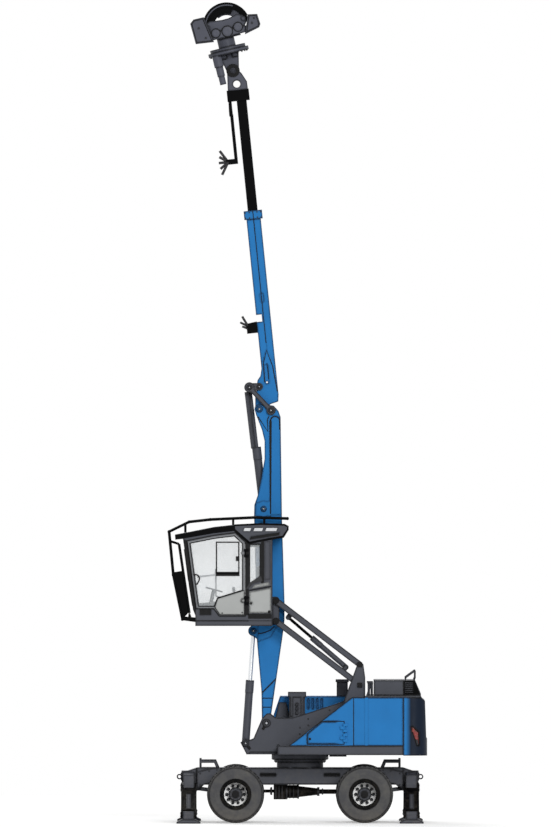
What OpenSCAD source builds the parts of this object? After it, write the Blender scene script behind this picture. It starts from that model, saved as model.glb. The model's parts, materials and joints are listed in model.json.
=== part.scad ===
// Wheeled material handler with a telescopic stick, a rising cab and a felling grapple.
// Millimetres, +Z up. The origin lies on the slew axis at ground level.
// The front of the machine points to -X, its left side to -Y.

/* [Wheels] */
// Distance between the axles
wheel_base = 2450; // [2420:5:2480]
// Tyre radius
tyre_r = 545; // [535:1:550]
// Width of one tyre
tyre_w = 270; // [255:1:280]
// Gap between twin tyres
twin_gap = 40; // [30:1:50]
// Half the width over the tyres
half_width = 1250; // [1240:1:1270]
// Distance of a steering pin from the middle
kingpin_y = 590; // [575:1:595]

/* [Chassis] */
// Half the width of the chassis beam
frame_half = 400; // [370:5:430]
// Radius of the slew ring
ring_r = 495; // [470:5:520]
// Thickness of a tow eye
eye_t = 60; // [50:1:80]
// Radius of a tow eye's bore
eye_bore = 28; // [24:1:30]

/* [Outriggers] */
// Distance of a foot pin from the middle
foot_y = 1480; // [1440:5:1520]
// Thickness of an arm's side plates
arm_t = 30; // [24:1:34]
// Length and width of a foot plate
pad_w = 455; // [420:5:470]

/* [Upper carriage] */
// Half the width of the body panels
body_half = 1250; // [1230:5:1270]
// Thickness of the main plates
plate_t = 40; // [34:1:46]
// Thickness of the body sheet
sheet_t = 30; // [24:1:36]
// Corner radius of the counterweight
weight_r = 300; // [250:10:340]

/* [Boom and stick] */
// Half the width of the boom
boom_half = 190; // [184:1:196]
// Half the width of the stick's foot
foot_half = 128; // [122:1:132]
// Half the width of the stick's tube
stick_half = 120; // [116:1:121]
// Half the width of the telescope
tele_half = 80; // [74:1:84]

/* [Cab] */
// Outer side of the cab
cab_out = 1270; // [1240:5:1290]
// Thickness of the cab's walls and door
cab_wall = 55; // [48:1:60]
// Thickness of the panes
pane_t = 12; // [8:1:14]

/* [Grapple head] */
// Radius of the head's slew plate
head_r = 390; // [370:5:400]
// Thickness of the grapple plates
claw_t = 40; // [34:1:44]

/* [Clearances] */
// Play between a pin and its bore, and over a slew face
play = 0.4; // [0.3:0.1:0.6]
// Gap beside a moving piece
run = 6; // [5:0.5:8]

/* [Hidden] */
$fn = 64;

blue = [0.16, 0.47, 0.73];
grey = [0.30, 0.30, 0.33];
pale = [0.68, 0.69, 0.68];
black = [0.06, 0.06, 0.07];
white = [0.88, 0.88, 0.86];
chrome = [0.80, 0.82, 0.84];
red = [0.72, 0.12, 0.08];
glass = [0.70, 0.80, 0.84, 0.4];

// Wheels: distances along the axle
axle_x = wheel_base / 2;
bead_half = tyre_w / 2 - 30;
inner_tyre = half_width - 1.5 * tyre_w - twin_gap;
outer_tyre = half_width - 0.5 * tyre_w;
disc_y = (inner_tyre + outer_tyre) / 2 - 10;
bead_r = 262;
flange_r = 291;
spindle_r = 60;

// Chassis heights, and the arms' reach at its ends
arm_gap = 204;
arm_span = 289;
arm_x0 = axle_x + tyre_r + arm_gap;
arm_x1 = arm_x0 + arm_span;
frame_top = 1040;
frame_low = 716;
end_x = arm_x0 - 12;
ring_z = 1198;
gusset_t = 22;
eye_x = arm_x1 + eye_bore + 6;
eye_rim = 24;
eye_z = 865;

// Outriggers
hinge = [430, 660];
foot = [foot_y, 162];
arm_mid = (arm_x0 + arm_x1) / 2;
lug_x0 = arm_x0 + arm_t + run;
lug_x1 = arm_x1 - arm_t - run;

// Upper carriage
tray_x = -429;
sill_x = -960;
deck_low = 1292;
deck_top = 1330;
notch_t = 30;
notch_gap = 10;
skirt_top = 1467;
body_top = 2387;
plate_in = 215;
plate_out = plate_in + plate_t;
house_x = 1262;
weight_x = 1962;
weight_back = 2415;
lamp_floor = body_half - 110;
lamp_t = 30;
lamp_edge = 14;
lens_r = 24;
body_in = 760;
hood_low = 2421;
hood_back = 2297;
hood_half = 1000;
hood_pin = 14;
hood_pin_y = 600;
louvre_n = 5;
louvre_z = 2487;
louvre_pitch = 36;
louvre_edge = 150;
louvre_post = 40;
louvre_w = (2 * (hood_half - louvre_edge) - 2 * louvre_post) / 3;
rail_y = hood_half - 120;
rail_t = 30;
post_y = hood_half - 70;

// Pins of the boom and its cylinders
boom_foot = [-638, 1888];
cyl_foot = [-1036, 1501];
cyl_head = [-887, 3642];
stick_cyl_foot = [-693, 5966];
stick_pin = [-772, 7866];
idler_pin = [-551, 7841];
rocker_pin = [-964, 8279];
link_pin = [-775, 8294];
fork_half = foot_half + run;
doubler_t = 10;
idler_y0 = boom_half + doubler_t + run;
idler_t = 32;
link_y0 = foot_half + run;
link_t = 34;
rocker_r = 36;
rod_eye_r = 90;
rod_eye_w = 110;
slot_half = rod_eye_w / 2 + run;

// Stick: its own frame has its origin on the stick pin
stick_lean = 5.77;
tube_u0 = 115;
tube_u1 = 389;
tele_u0 = 157;
tele_u1 = 347;
tube_end = 3610;
tilt_pin = [146, 6465];
link_step = link_pin - stick_pin;
link_at = [link_step[0] * cos(stick_lean) + link_step[1] * sin(stick_lean),
           link_step[1] * cos(stick_lean) - link_step[0] * sin(stick_lean)];

// Head: its own frame has its origin on the tilt pin
head_lean = 13.3;
head_at = stick_pin + [tilt_pin[0] * cos(stick_lean) - tilt_pin[1] * sin(stick_lean),
                       tilt_pin[0] * sin(stick_lean) + tilt_pin[1] * cos(stick_lean)];
yoke_in = 100;
plate_w0 = 333;
plate_w1 = 403;
claw_l = [-284, 891];
claw_r = [419, 921];
jaw = [77, 847];

// Cab and its arms
cab_in = 330;
pocket_t = 14;
guard_in = 60;
panel_t = 14;
door_panel_t = 6;
pane_set = 15;
screen_side = 75;
screen_foot = -2025;
screen_head = -2201;
screen_low = 4100;
screen_top = 5340;
back_low = 4500;
back_top = 5280;
back_side = 120;
roof_lights = [[-1080, -945], [-890, -720], [-665, -450]];
tower_top = [1135, 3006];
tower_low = [1135, 2616];
cab_top = [-461, 4224];
cab_low = [-461, 3834];
bar_y0 = 270;
bar_y1 = 680;
bar_t = 60;
bar_r = 58;
lift_y = 475;

// Outlines in the side view
plate_line = [
  [-1135, 1518], [-1019, 1292], [1240, 1292], [1240, 2762], [1205, 3010], [1135, 3074],
  [1073, 2966], [844, 2337], [819, 2301], [400, 2164], [109, 2067], [-152, 1989],
  [-465, 1989], [-571, 2076], [-640, 2065], [-720, 1981], [-886, 1593], [-947, 1568]
];
right_line = [
  [-1135, 1518], [-1019, 1292], [1240, 1292], [1240, 2000], [109, 2067], [-215, 2070],
  [-260, 2280], [-400, 2280], [-465, 1989], [-571, 2076], [-640, 2065], [-720, 1981],
  [-886, 1593], [-947, 1568]
];
tower_line = [
  [700, 1330], [1240, 1330], [1240, 2762], [1205, 3010], [1135, 3074], [1073, 2966], [844, 2337]
];
left_line = [[-213, 1467], [1257, 1467], [1257, 2387], [989, 2387]];
door_line = [[143, 1506], [829, 1506], [829, 1926], [419, 1926], [143, 1697]];
right_body_line = [[-640, 1467], [1257, 1467], [1257, 2392], [-381, 2392], [-500, 2038]];
weight_line = [
  [weight_x, 1282], [weight_back, 1282], [weight_back, 1604], [weight_back - 17, 1615],
  [weight_back - 41, 2320], [2296, body_top], [weight_x, body_top]
];
lamp_line = [[2211, 1470], [2265, 1470], [2257, 1724], [2140, 1845], [2095, 1829], [2175, 1600]];
lamp_lenses = [[2150, 1760], [2192, 1690], [2215, 1610]];
hood_line = [[1405, hood_low - 5], [hood_back, hood_low - 5], [hood_back, 2457], [2187, 2713], [1405, 2713]];
boom_line = [
  [-550, 1900], [-550, 2040], [-320, 3630], [-295, 3850], [-295, 4190], [-345, 5830],
  [-370, 7715], [-410, 7830], [-500, 7930], [-560, 7940], [-772, 7950], [-862, 7866],
  [-840, 7765], [-725, 7470], [-675, 7260], [-675, 6915], [-745, 6495], [-810, 6210],
  [-870, 6040], [-875, 5830], [-825, 3885], [-825, 3505], [-735, 2495], [-726, 1900]
];
bay_line = [
  [-1000, 5800], [-565, 5800], [-565, 7735], [-1000, 7735]
];
stick_line = [
  [-81, 0], [60, -70], [220, 72], [371, 108], [390, 240], [389, 760], [389, 900], [115, 900],
  [115, 760], [80, 624], [19, 551], [0, 480], [-27, 336], [-57, 247]
];
slot_line = [[-140, 165], [30, 165], [30, 510], [72, 540], [88, 580], [88, 725], [-140, 725]];
yoke_line = [[8, 6085], [394, 6085], [390, 6233], [305, 6397], [146, 6590], [30, 6465], [22, 6305]];
frame_line = [
  [-162, 645], [125, 652], [329, 664], [472, 863], [427, 985], [315, 1030], [136, 988],
  [15, 985], [-214, 1010], [-307, 986], [-320, 833]
];
saw_box = [[-574, 650], [-226, 609], [-309, 1115], [-511, 1115], [-589, 1051]];
tip_box = [[381, 617], [677, 686], [712, 744], [696, 941], [518, 975]];
shell_line = [
  [-1990, 3747], [-524, 3747], [-524, 5390], [-308, 5424], [-215, 5575], [-230, 5640], [-295, 5677],
  [-743, 5692], [-1246, 5667], [-1632, 5625], [-2135, 5525], [-2378, 5480], [-2370, 5385],
  [-2225, 5400], [-2035, 4060], [-1990, 3943]
];
room_line = [
  [-1925, 3807], [-584, 3807], [-584, 5300], [-985, 5300], [-1235, 5535], [-1632, 5487],
  [-2140, 5385], [-1962, 4060], [-1925, 3947]
];
cab_door_line = [
  [-1968, 4085], [-1634, 4085], [-1528, 3945], [-1050, 3945], [-1050, 5335], [-1232, 5505],
  [-1632, 5455], [-2136, 5355]
];
door_window = [
  [-1925, 4125], [-1635, 4125], [-1572, 4285], [-1100, 4430], [-1100, 5312], [-1250, 5452],
  [-1632, 5404], [-2086, 5314]
];
door_panel = [[-1612, 4105], [-1520, 3965], [-1064, 3965], [-1064, 4415], [-1562, 4262]];
quarter_window = [[-955, 4560], [-760, 4690], [-760, 5295], [-955, 5295]];
far_window = [
  [-1925, 4160], [-700, 4300], [-700, 5250], [-985, 5250], [-1235, 5480], [-1632, 5430],
  [-2088, 5335]
];

// Mirrors a piece drawn at the rear right to another corner: front -1, rear 1, left -1, right 1
module at_corner(sx, sy) {
  mirror([sx < 0 ? 1 : 0, 0, 0])
    mirror([0, sy < 0 ? 1 : 0, 0])
      children();
}

// A profile drawn in X and Z, from y0 to y1
module side(y0, y1) {
  translate([0, y1, 0])
    rotate([90, 0, 0])
      linear_extrude(y1 - y0)
        children();
}

// A profile drawn in Y and Z, from x0 to x1
module across(x0, x1) {
  translate([x0, 0, 0])
    rotate([90, 0, 90])
      linear_extrude(x1 - x0)
        children();
}

// The same piece on both sides of the middle
module both() {
  children();
  mirror([0, 1, 0])
    children();
}

// A round bar along Y
module pin(p, r, y0, y1) {
  translate([p[0], y1, p[1]])
    rotate([90, 0, 0])
      cylinder(r = r, h = y1 - y0);
}

// A round bar between two points
module bar(p, q, r) {
  v = q - p;
  translate(p)
    rotate([0, acos(v[2] / norm(v)), atan2(v[1], v[0])])
      cylinder(r = r, h = norm(v));
}

// Two round ends with straight sides
module link(a, b, ra, rb) {
  d = (b - a) / norm(b - a);
  n = [-d[1], d[0]] * 0.985;
  translate(a)
    circle(ra);
  translate(b)
    circle(rb);
  polygon([a + n * ra, a - n * ra, b - n * rb, b + n * rb]);
}

// An outline moved outwards by d, for points that run anticlockwise
function unit(v) = v / norm(v);
function out(v) = [v[1], -v[0]];
function grown_point(p, q, s, d) =
  let (a = unit(q - p), b = unit(s - q), m = out(a) + out(b)) q + m * d / (1 + out(a) * out(b));
function grown(pts, d) = let (n = len(pts))
  [for (i = [0 : n - 1]) grown_point(pts[(i + n - 1) % n], pts[i], pts[(i + 1) % n], d)];

// The stick's frame and the head's frame
module in_stick() {
  translate([stick_pin[0], 0, stick_pin[1]])
    rotate([0, -stick_lean, 0])
      children();
}

module in_head() {
  translate([head_at[0], 0, head_at[1]])
    rotate([0, -head_lean, 0])
      children();
}

// A wheel's frame: its Z runs outwards along the axle from the middle of the machine
module at_wheel(sx, sy) {
  translate([sx * axle_x, 0, tyre_r])
    mirror([0, sy < 0 ? 1 : 0, 0])
      rotate([-90, 0, 0])
        children();
}

module chassis() {
  color(grey)
  difference() {
    union() {
      side(-frame_half, frame_half)
        polygon([[-end_x, frame_low], [end_x, frame_low], [end_x, frame_top], [-end_x, frame_top]]);
      for (sx = [-1, 1])
        at_corner(sx, 1)
          chassis_end();
      translate([0, 0, frame_top])
        cylinder(r = ring_r - 54, h = 115);
      translate([0, 0, 1150])
        cylinder(r = ring_r, h = ring_z - play - 1150);
    }
    for (sx = [-1, 1])
      pin([sx * eye_x, eye_z], eye_bore, -eye_t, eye_t);
    for (sx = [-1, 1])
      both()
        translate([sx * 607 - 150, frame_half - 60, 882])
          cube([300, 100, 48]);
  }
}

// One end of the chassis: cross beam, hinge lugs, tow eye and step rail
module chassis_end() {
  cross_beam();
  both()
    across(lug_x0, lug_x1)
      union() {
        translate(hinge)
          circle(96);
        polygon([[hinge[0] - 130, 620], [hinge[0], 620], [hinge[0] + 90, 680], [hinge[0] + 40, 900],
                 [hinge[0] - 130, 960]]);
      }
  both()
    translate([arm_x0, hinge[0], hinge[1]])
      rotate([0, 90, 0])
        cylinder(r = 45, h = arm_x1 - arm_x0);
  side(-eye_t / 2, eye_t / 2)
    union() {
      translate([eye_x, eye_z])
        circle(eye_bore + eye_rim);
      translate([arm_x1, 0])
        polygon([[-23, 760], [7, 800], [12, 930], [-23, 975]]);
    }
  both() {
    step_rail();
    side(frame_half - 5, frame_half + gusset_t)
      translate([end_x, 0])
        polygon([[-462, frame_top - 2], [-309, frame_top - 9], [-2, 955], [-2, 640], [-173, 740],
                 [-462, 740]]);
  }
}

module cross_beam() {
  side(-hinge[0] + 110, hinge[0] - 110)
    polygon([[end_x - 20, 600], [arm_x1 - run, 777], [arm_x1 - run, 979], [arm_x1 - 118, 979],
             [end_x, frame_top], [end_x - 162, 1000], [end_x - 162, 740]]);
}

module step_rail() {
  side(frame_half - 60, frame_half - 20)
    translate([end_x, 0])
      difference() {
        polygon([[-412, 1020], [-47, 1020], [-47, 1215], [-87, 1215], [-87, 1189], [-362, 1189],
                 [-432, 1030]]);
        polygon([[-362, 1045], [-87, 1045], [-87, 1132], [-327, 1132]]);
      }
}

module axles() {
  color(grey) {
    axle_beam(-1, 500);
    front_forks();
    axle_beam(1, inner_tyre - tyre_w / 2 - 20);
    rear_spindles();
    axle_struts();
  }
}

module axle_beam(sx, reach) {
  translate([sx * axle_x, 0, tyre_r]) {
    rotate([90, 0, 0])
      translate([0, 0, -reach])
        cylinder(r = 115, h = 2 * reach);
    translate([-150, 0, 0])
      rotate([0, 90, 0])
        cylinder(r = 160, h = 300);
    both()
      translate([-100, 190, 0])
        cube([200, 110, frame_low - tyre_r]);
  }
}

module front_forks() {
  translate([-axle_x, 0, tyre_r])
    both()
      difference() {
        union() {
          translate([-60, 450, -175])
            cube([120, 65, 350]);
          for (z = [-175, 140])
            translate([0, 0, z])
              linear_extrude(35)
                link([0, 490], [0, kingpin_y], 68, 68);
        }
        translate([0, kingpin_y, -200])
          cylinder(r = 32 + play, h = 400);
      }
}

module rear_spindles() {
  both()
    at_wheel(1, 1)
      translate([0, 0, 400])
        cylinder(r = spindle_r - play, h = disc_y + 80 - 400);
}

// Struts from each axle to the end of the chassis
module axle_struts() {
  for (sx = [-1, 1])
    at_corner(sx, 1)
      both()
        difference() {
          bar([axle_x, 250, tyre_r], [end_x - 25, 250, 640], 34);
          cross_beam();
        }
}

module knuckle(sy) {
  color(grey)
  translate([-axle_x, 0, tyre_r])
    mirror([0, sy < 0 ? 1 : 0, 0]) {
      translate([0, kingpin_y, -140 + play])
        cylinder(r = 62, h = 280 - 2 * play);
      translate([0, kingpin_y, -175])
        cylinder(r = 32, h = 350);
      translate([0, kingpin_y, 0])
        rotate([-90, 0, 0])
          cylinder(r = spindle_r - play, h = disc_y + 80 - kingpin_y);
    }
}

module knuckle_left() {
  knuckle(-1);
}

module knuckle_right() {
  knuckle(1);
}

// One side of a tyre's section: radius and distance from the tyre's middle
tyre_sides = 36;
bead_seat = (bead_r + play) / cos(180 / tyre_sides);
tyre_half = tyre_w / 2;
tyre_rise = [
  [bead_seat, bead_half], [flange_r + 4, bead_half], [flange_r + 95, tyre_half],
  [tyre_r - 45, tyre_half * 0.9], [tyre_r, tyre_half * 0.62]
];
tyre_fall = [for (i = [len(tyre_rise) - 1 : -1 : 0]) [tyre_rise[i][0], -tyre_rise[i][1]]];

// A ring with flat sides, turned from a section of radius and height
module ring(section, sides) {
  n = len(section);
  polyhedron(
    points = [for (k = [0 : sides - 1]) for (p = section)
              [p[0] * cos(360 * k / sides), p[0] * sin(360 * k / sides), p[1]]],
    faces = [for (k = [0 : sides - 1]) for (i = [0 : n - 1])
             let (a = k * n, b = ((k + 1) % sides) * n, j = (i + 1) % n) [a + i, b + i, b + j, a + j]]
  );
}

module tyre(sx, sy) {
  color(black)
  at_wheel(sx, sy)
    for (c = [inner_tyre, outer_tyre])
      translate([0, 0, c])
        ring(concat(tyre_rise, tyre_fall), tyre_sides);
}

module tyre_front_left() {
  tyre(-1, -1);
}

module tyre_front_right() {
  tyre(-1, 1);
}

module tyre_rear_left() {
  tyre(1, -1);
}

module tyre_rear_right() {
  tyre(1, 1);
}

module rim(sx, sy) {
  color(white)
  at_wheel(sx, sy) {
    rotate_extrude()
      union() {
        translate([bead_r - 24, inner_tyre - bead_half - 12])
          square([24, outer_tyre - inner_tyre + 2 * bead_half + 24]);
        for (c = [inner_tyre, outer_tyre])
          for (e = [-bead_half - 12, bead_half])
            translate([bead_r - 24, c + e])
              square([flange_r - bead_r + 24, 12]);
        translate([spindle_r, disc_y])
          square([bead_r - spindle_r - 4, 20]);
        translate([spindle_r, disc_y - 60])
          square([128 - spindle_r, 180]);
        translate([0, disc_y + 82])
          square([128, 38]);
        translate([0, disc_y + 110])
          square([64, 45]);
      }
    for (i = [0 : 9])
      rotate(i * 36)
        translate([167, 0, disc_y + 10])
          cylinder(r = 16, h = 50);
  }
}

module rim_front_left() {
  rim(-1, -1);
}

module rim_front_right() {
  rim(-1, 1);
}

module rim_rear_left() {
  rim(1, -1);
}

module rim_rear_right() {
  rim(1, 1);
}

module driveline() {
  color(black) {
    translate([-503, -140, 433])
      cube([235, 280, frame_low - 433]);
    translate([-280, 0, 580])
      rotate([0, 90, 0])
        cylinder(r = 125, h = 240);
    translate([-60, 0, 580])
      rotate([0, 90, 0])
        cylinder(r1 = 110, r2 = 60, h = 422);
    bar([-axle_x + 150, 0, 590], [-490, 0, 590], 30);
    bar([300, 0, 580], [axle_x - 150, 0, 580], 44);
  }
}

module outrigger_arm(sx, sy) {
  color(grey)
  at_corner(sx, sy)
    difference() {
      union() {
        for (x = [arm_x0, arm_x1 - arm_t])
          across(x, x + arm_t)
            link(hinge, foot, 96, 68);
        across(arm_x0 + arm_t - 5, arm_x1 - arm_t + 5)
          arm_web();
      }
      translate([arm_x0 - 10, hinge[0], hinge[1]])
        rotate([0, 90, 0])
          cylinder(r = 45 + play, h = arm_x1 - arm_x0 + 20);
      translate([arm_x0 - 10, foot[0], foot[1]])
        rotate([0, 90, 0])
          cylinder(r = 30 + play, h = arm_x1 - arm_x0 + 20);
    }
}

// The box between the arm's side plates
module arm_web() {
  d = unit(foot - hinge);
  n = [-d[1], d[0]];
  reach = norm(foot - hinge);
  polygon([hinge + d * 150 + n * 75, hinge + d * 150 - n * 75,
           hinge + d * (reach - 110) - n * 55, hinge + d * (reach - 110) + n * 55]);
}

module arm_front_left() {
  outrigger_arm(-1, -1);
}

module arm_front_right() {
  outrigger_arm(-1, 1);
}

module arm_rear_left() {
  outrigger_arm(1, -1);
}

module arm_rear_right() {
  outrigger_arm(1, 1);
}

module outrigger_pad(sx, sy) {
  color(grey)
  at_corner(sx, sy) {
    across(lug_x0, lug_x1)
      union() {
        translate(foot)
          circle(66);
        polygon([[foot[0] - 66, foot[1]], [foot[0] - 120, 60], [foot[0] + 120, 60], [foot[0] + 66, foot[1]]]);
      }
    translate([arm_x0, foot[0], foot[1]])
      rotate([0, 90, 0])
        cylinder(r = 30, h = arm_x1 - arm_x0);
    side(foot[0] - pad_w / 2, foot[0] + pad_w / 2)
      polygon([[arm_mid - pad_w / 2, 0], [arm_mid + pad_w / 2, 0], [arm_mid + pad_w / 2, 30],
               [arm_mid + 130, 78], [arm_mid - 130, 78], [arm_mid - pad_w / 2, 30]]);
  }
}

module pad_front_left() {
  outrigger_pad(-1, -1);
}

module pad_front_right() {
  outrigger_pad(-1, 1);
}

module pad_rear_left() {
  outrigger_pad(1, -1);
}

module pad_rear_right() {
  outrigger_pad(1, 1);
}

module upper_frame() {
  color(grey) {
    frame_tray();
    translate([0, 0, ring_z])
      cylinder(r = ring_r + 46, h = deck_low - ring_z + 10);
    slew_drive();
  }
}

// Open tray of the upper carriage, with the sill that runs out under the main plates
// and a notch in its front edge for the lowered arms of the cab
module frame_tray() {
  difference() {
    translate([tray_x, -body_half, deck_low])
      cube([weight_x - 2 - tray_x, 2 * body_half, skirt_top - deck_low]);
    translate([tray_x + sheet_t, -body_half + sheet_t, deck_top])
      cube([weight_x - 2 - tray_x - 2 * sheet_t, 2 * (body_half - sheet_t), 400]);
    translate([tray_x - sheet_t, -bar_y1 - notch_gap, skirt_top - notch_t])
      cube([3 * sheet_t, bar_y1 - bar_y0 + 2 * notch_gap, 2 * notch_t]);
  }
  translate([sill_x, -plate_out, deck_low])
    cube([tray_x - sill_x + 69, 2 * plate_out, deck_top - deck_low]);
}

// The two plates that carry the boom and its cylinders
module main_plates() {
  color(grey)
  difference() {
    union() {
      side(-plate_out, -plate_in)
        polygon(plate_line);
      side(plate_in, plate_out)
        polygon(right_line);
      pin(boom_foot, 60, -plate_out - 15, plate_out + 15);
      pin(cyl_foot, 45, -plate_out - 15, plate_out + 15);
    }
    frame_tray();
  }
}

// The outer plate of the cab's arms, with the pins that run to the main plate
module cab_tower() {
  color(grey) {
    side(-bar_y1 - 10 - plate_t, -bar_y1 - 10)
      polygon(tower_line);
    for (p = [tower_top, tower_low])
      pin(p, 40, -bar_y1 - 10 - plate_t - 12, -plate_out);
  }
}

// Housing of the slew drive and two pipe clamps under the deck
module slew_drive() {
  translate([560, -210, deck_low - 44])
    cube([325, 420, 54]);
  for (y = [-330, 270])
    translate([640, y, deck_low - 30])
      cube([180, 60, 40]);
}

module counterweight() {
  color(blue)
  difference() {
    intersection() {
      side(-body_half, body_half)
        polygon(weight_line);
      weight_plan();
    }
    both() {
      side(lamp_floor, body_half + 10)
        polygon(lamp_line);
      pin([hood_back, body_top], hood_pin + run, hood_pin_y - 10, hood_pin_y + 170);
    }
  }
}

// The plan of the counterweight, with round corners
module weight_plan() {
  translate([weight_x - 50, -body_half, deck_low - 50])
    cube([weight_back - weight_r - weight_x + 50, 2 * body_half, 1300]);
  translate([weight_x - 50, -body_half + weight_r, deck_low - 50])
    cube([weight_back - weight_x + 50, 2 * (body_half - weight_r), 1300]);
  both()
    translate([weight_back - weight_r, body_half - weight_r, deck_low - 50])
      cylinder(r = weight_r * 0.998, h = 1300);
}

// A lamp in each slanted recess of the counterweight, with a round lens on its face
module rear_lamps() {
  color(red)
    both() {
      side(lamp_floor, lamp_floor + lamp_t)
        polygon(grown(lamp_line, -lamp_edge));
      for (p = lamp_lenses)
        pin(p, lens_r, lamp_floor + lamp_t - 2, lamp_floor + lamp_t + 12);
    }
}

// Hinges with upright pins: the fixed half has the pin and two knuckles, the other one knuckle
hinge_out = 20;

module hinge_fixed(x, y, z) {
  translate([x, y - hinge_out, z]) {
    cylinder(r = 9, h = 160);
    for (e = [0, 110]) {
      translate([0, 0, e])
        cylinder(r = 18, h = 50);
      translate([0, -14, e])
        cube([70, 14 + hinge_out + 4, 50]);
    }
  }
}

module hinge_moving(x, y, z) {
  difference() {
    translate([x, y - hinge_out, z + 50 + play]) {
      cylinder(r = 18, h = 60 - 2 * play);
      translate([-70, -14, 0])
        cube([70, 14 + hinge_out + 4, 60 - 2 * play]);
    }
    translate([x, y - hinge_out, z])
      cylinder(r = 9 + play, h = 200);
  }
}

service_hinges = [1540, 1730];
cab_hinges = [4150, 5050];
service_axis = 829 + run / 2;
cab_axis = -1050 + run / 2;

module left_body() {
  color(blue)
    for (z = service_hinges)
      hinge_fixed(service_axis, -body_half, z);
  color(blue)
  difference() {
    side(-body_half, -body_in)
      polygon(left_line);
    side(-body_half + sheet_t, -body_in - sheet_t)
      polygon(grown(left_line, -sheet_t));
    side(-body_half - 10, -body_half + sheet_t + 10)
      polygon(grown(door_line, run));
    translate([1014, -body_half - 10, skirt_top + 12])
      cube([6, 20, body_top - skirt_top - 24]);
  }
}

module service_door() {
  color(blue) {
    side(-body_half, -body_half + sheet_t)
      polygon(door_line);
    for (z = service_hinges)
      hinge_moving(service_axis, -body_half, z);
  }
}

module right_body() {
  color(blue)
  difference() {
    side(plate_out + 10, body_half)
      polygon(right_body_line);
    for (x = [140, 225, 310, 395])
      translate([x, plate_out, 2150])
        cube([36, 40, 200]);
    translate([520, body_half - 12, 1560])
      cube([8, 40, 780]);
    for (i = [0 : 5])
      translate([700, body_half - 20, 1950 + 60 * i])
        cube([420, 40, 26]);
  }
}

module engine_house() {
  color(blue)
  difference() {
    translate([house_x, -body_half, skirt_top])
      cube([weight_x - 2 - house_x, 2 * body_half, body_top - skirt_top]);
    translate([house_x + sheet_t, -body_half + sheet_t, skirt_top - 10])
      cube([weight_x - 2 - house_x - 2 * sheet_t, 2 * (body_half - sheet_t), body_top]);
  }
}

module engine_hood() {
  color(grey)
  difference() {
    union() {
      translate([house_x, -body_half, body_top + play])
        cube([hood_back - house_x, 2 * body_half, hood_low - body_top - play]);
      side(-hood_half, hood_half)
        polygon(hood_line);
      both() {
        hood_rail();
        hood_posts();
        pin([hood_back, body_top], hood_pin, hood_pin_y, hood_pin_y + 160);
      }
    }
    side(-hood_half + sheet_t, hood_half - sheet_t)
      polygon([[1435, 2300], [2180, 2300], [2180, 2600], [2150, 2683], [1435, 2683]]);
    side_louvres();
    rear_louvres();
  }
}

// Slots of the radiator grille: both sides, and three columns at the back
module side_louvres() {
  for (i = [0 : louvre_n - 1])
    translate([1995, -hood_half - 10, louvre_z + i * louvre_pitch])
      cube([150, 2 * hood_half + 20, louvre_pitch / 2]);
}

module rear_louvres() {
  for (i = [0 : louvre_n - 1])
    for (k = [0 : 2])
      translate([2100, louvre_edge - hood_half + k * (louvre_w + louvre_post), louvre_z + i * louvre_pitch])
        cube([250, louvre_w, louvre_pitch / 2]);
}

module hood_rail() {
  side(rail_y, rail_y + rail_t)
    difference() {
      polygon([[1996, 2700], [2180, 2700], [2200, 2760], [2200, 2896], [2176, 2896], [1996, 2765]]);
      polygon([[2020, 2708], [2154, 2708], [2174, 2765], [2174, 2864], [2020, 2752]]);
    }
}

// Two upright pipes with a brace in front of the raised part
module hood_posts() {
  for (x = [1310, 1366])
    bar([x, post_y, hood_low - 10], [x, post_y, 2671], 20);
  bar([1285, post_y, hood_low - 5], [1352, post_y, 2655], 13);
  translate([1275, post_y - 25, 2650])
    cube([115, 50, 24]);
}

module engine_block() {
  color(grey) {
    translate([1420, -600, deck_top])
      cube([440, 1100, 800]);
    translate([1560, -400, 2120])
      cube([240, 700, 260]);
  }
}

module valve_block() {
  color(grey) {
    translate([-208, -150, deck_top])
      cube([303, 300, 1050]);
    translate([-230, -170, deck_top + 1050])
      cube([347, 340, 100]);
    for (z = [2080, 2160, 2240])
      pin([-60, z], 28, -190, 190);
    for (x = [-180, 20])
      translate([x, -170, 2010])
        cube([40, 340, 380]);
  }
}

module air_cleaner() {
  color(grey) {
    translate([699, 300, 2392])
      cube([213, 420, 270]);
    translate([680, 280, 2660])
      cube([250, 460, 53]);
  }
}

module boom() {
  color(blue)
  difference() {
    union() {
      side(-boom_half, boom_half)
        boom_outline();
      boom_lugs();
      both()
        boom_doublers();
      pin(idler_pin, 45, -idler_y0 - idler_t, idler_y0 + idler_t);
      pin(stick_pin, 50, -boom_half - 12, boom_half + 12);
    }
    pin(boom_foot, 60 + play, -400, 400);
    both()
      pin(cyl_head, 135, 54, boom_half - 40);
    side(-fork_half + 24, fork_half - 24)
      polygon(bay_line);
    difference() {
      side(-fork_half, fork_half)
        polygon([[-1100, 7660], [-700, 7660], [-300, 7790], [-300, 8200], [-1100, 8200]]);
      pin(stick_pin, 50, -300, 300);
      pin(idler_pin, 45, -300, 300);
    }
  }
  color(blue)
    pin(stick_cyl_foot, 45, -fork_half, fork_half);
}

module boom_outline() {
  polygon(boom_line);
  translate(boom_foot)
    circle(112);
  translate(idler_pin)
    circle(92);
  translate(stick_pin)
    circle(95);
}

// Doubling plates on the boom's sides: at its foot, at the cylinder lugs and at the stick cylinder
module boom_doublers() {
  side(boom_half - 2, boom_half + doubler_t) {
    union() {
      polygon([[-714, 1960], [-720, 2455], [-468, 2707], [-552, 2120], [-575, 1960]]);
      translate(boom_foot)
        circle(98);
    }
    polygon([[-800, 3440], [-560, 3530], [-430, 3760], [-560, 3900], [-800, 3860]]);
    union() {
      polygon([[-850, 5830], [-560, 5830], [-560, 6120], [-840, 6080]]);
      translate(stick_cyl_foot)
        circle(150);
    }
    union() {
      polygon([[-571, 5852], [-352, 5852], [-376, 7640], [-571, 7640]]);
      translate([-474, 7640])
        circle(97);
    }
  }
}

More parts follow.
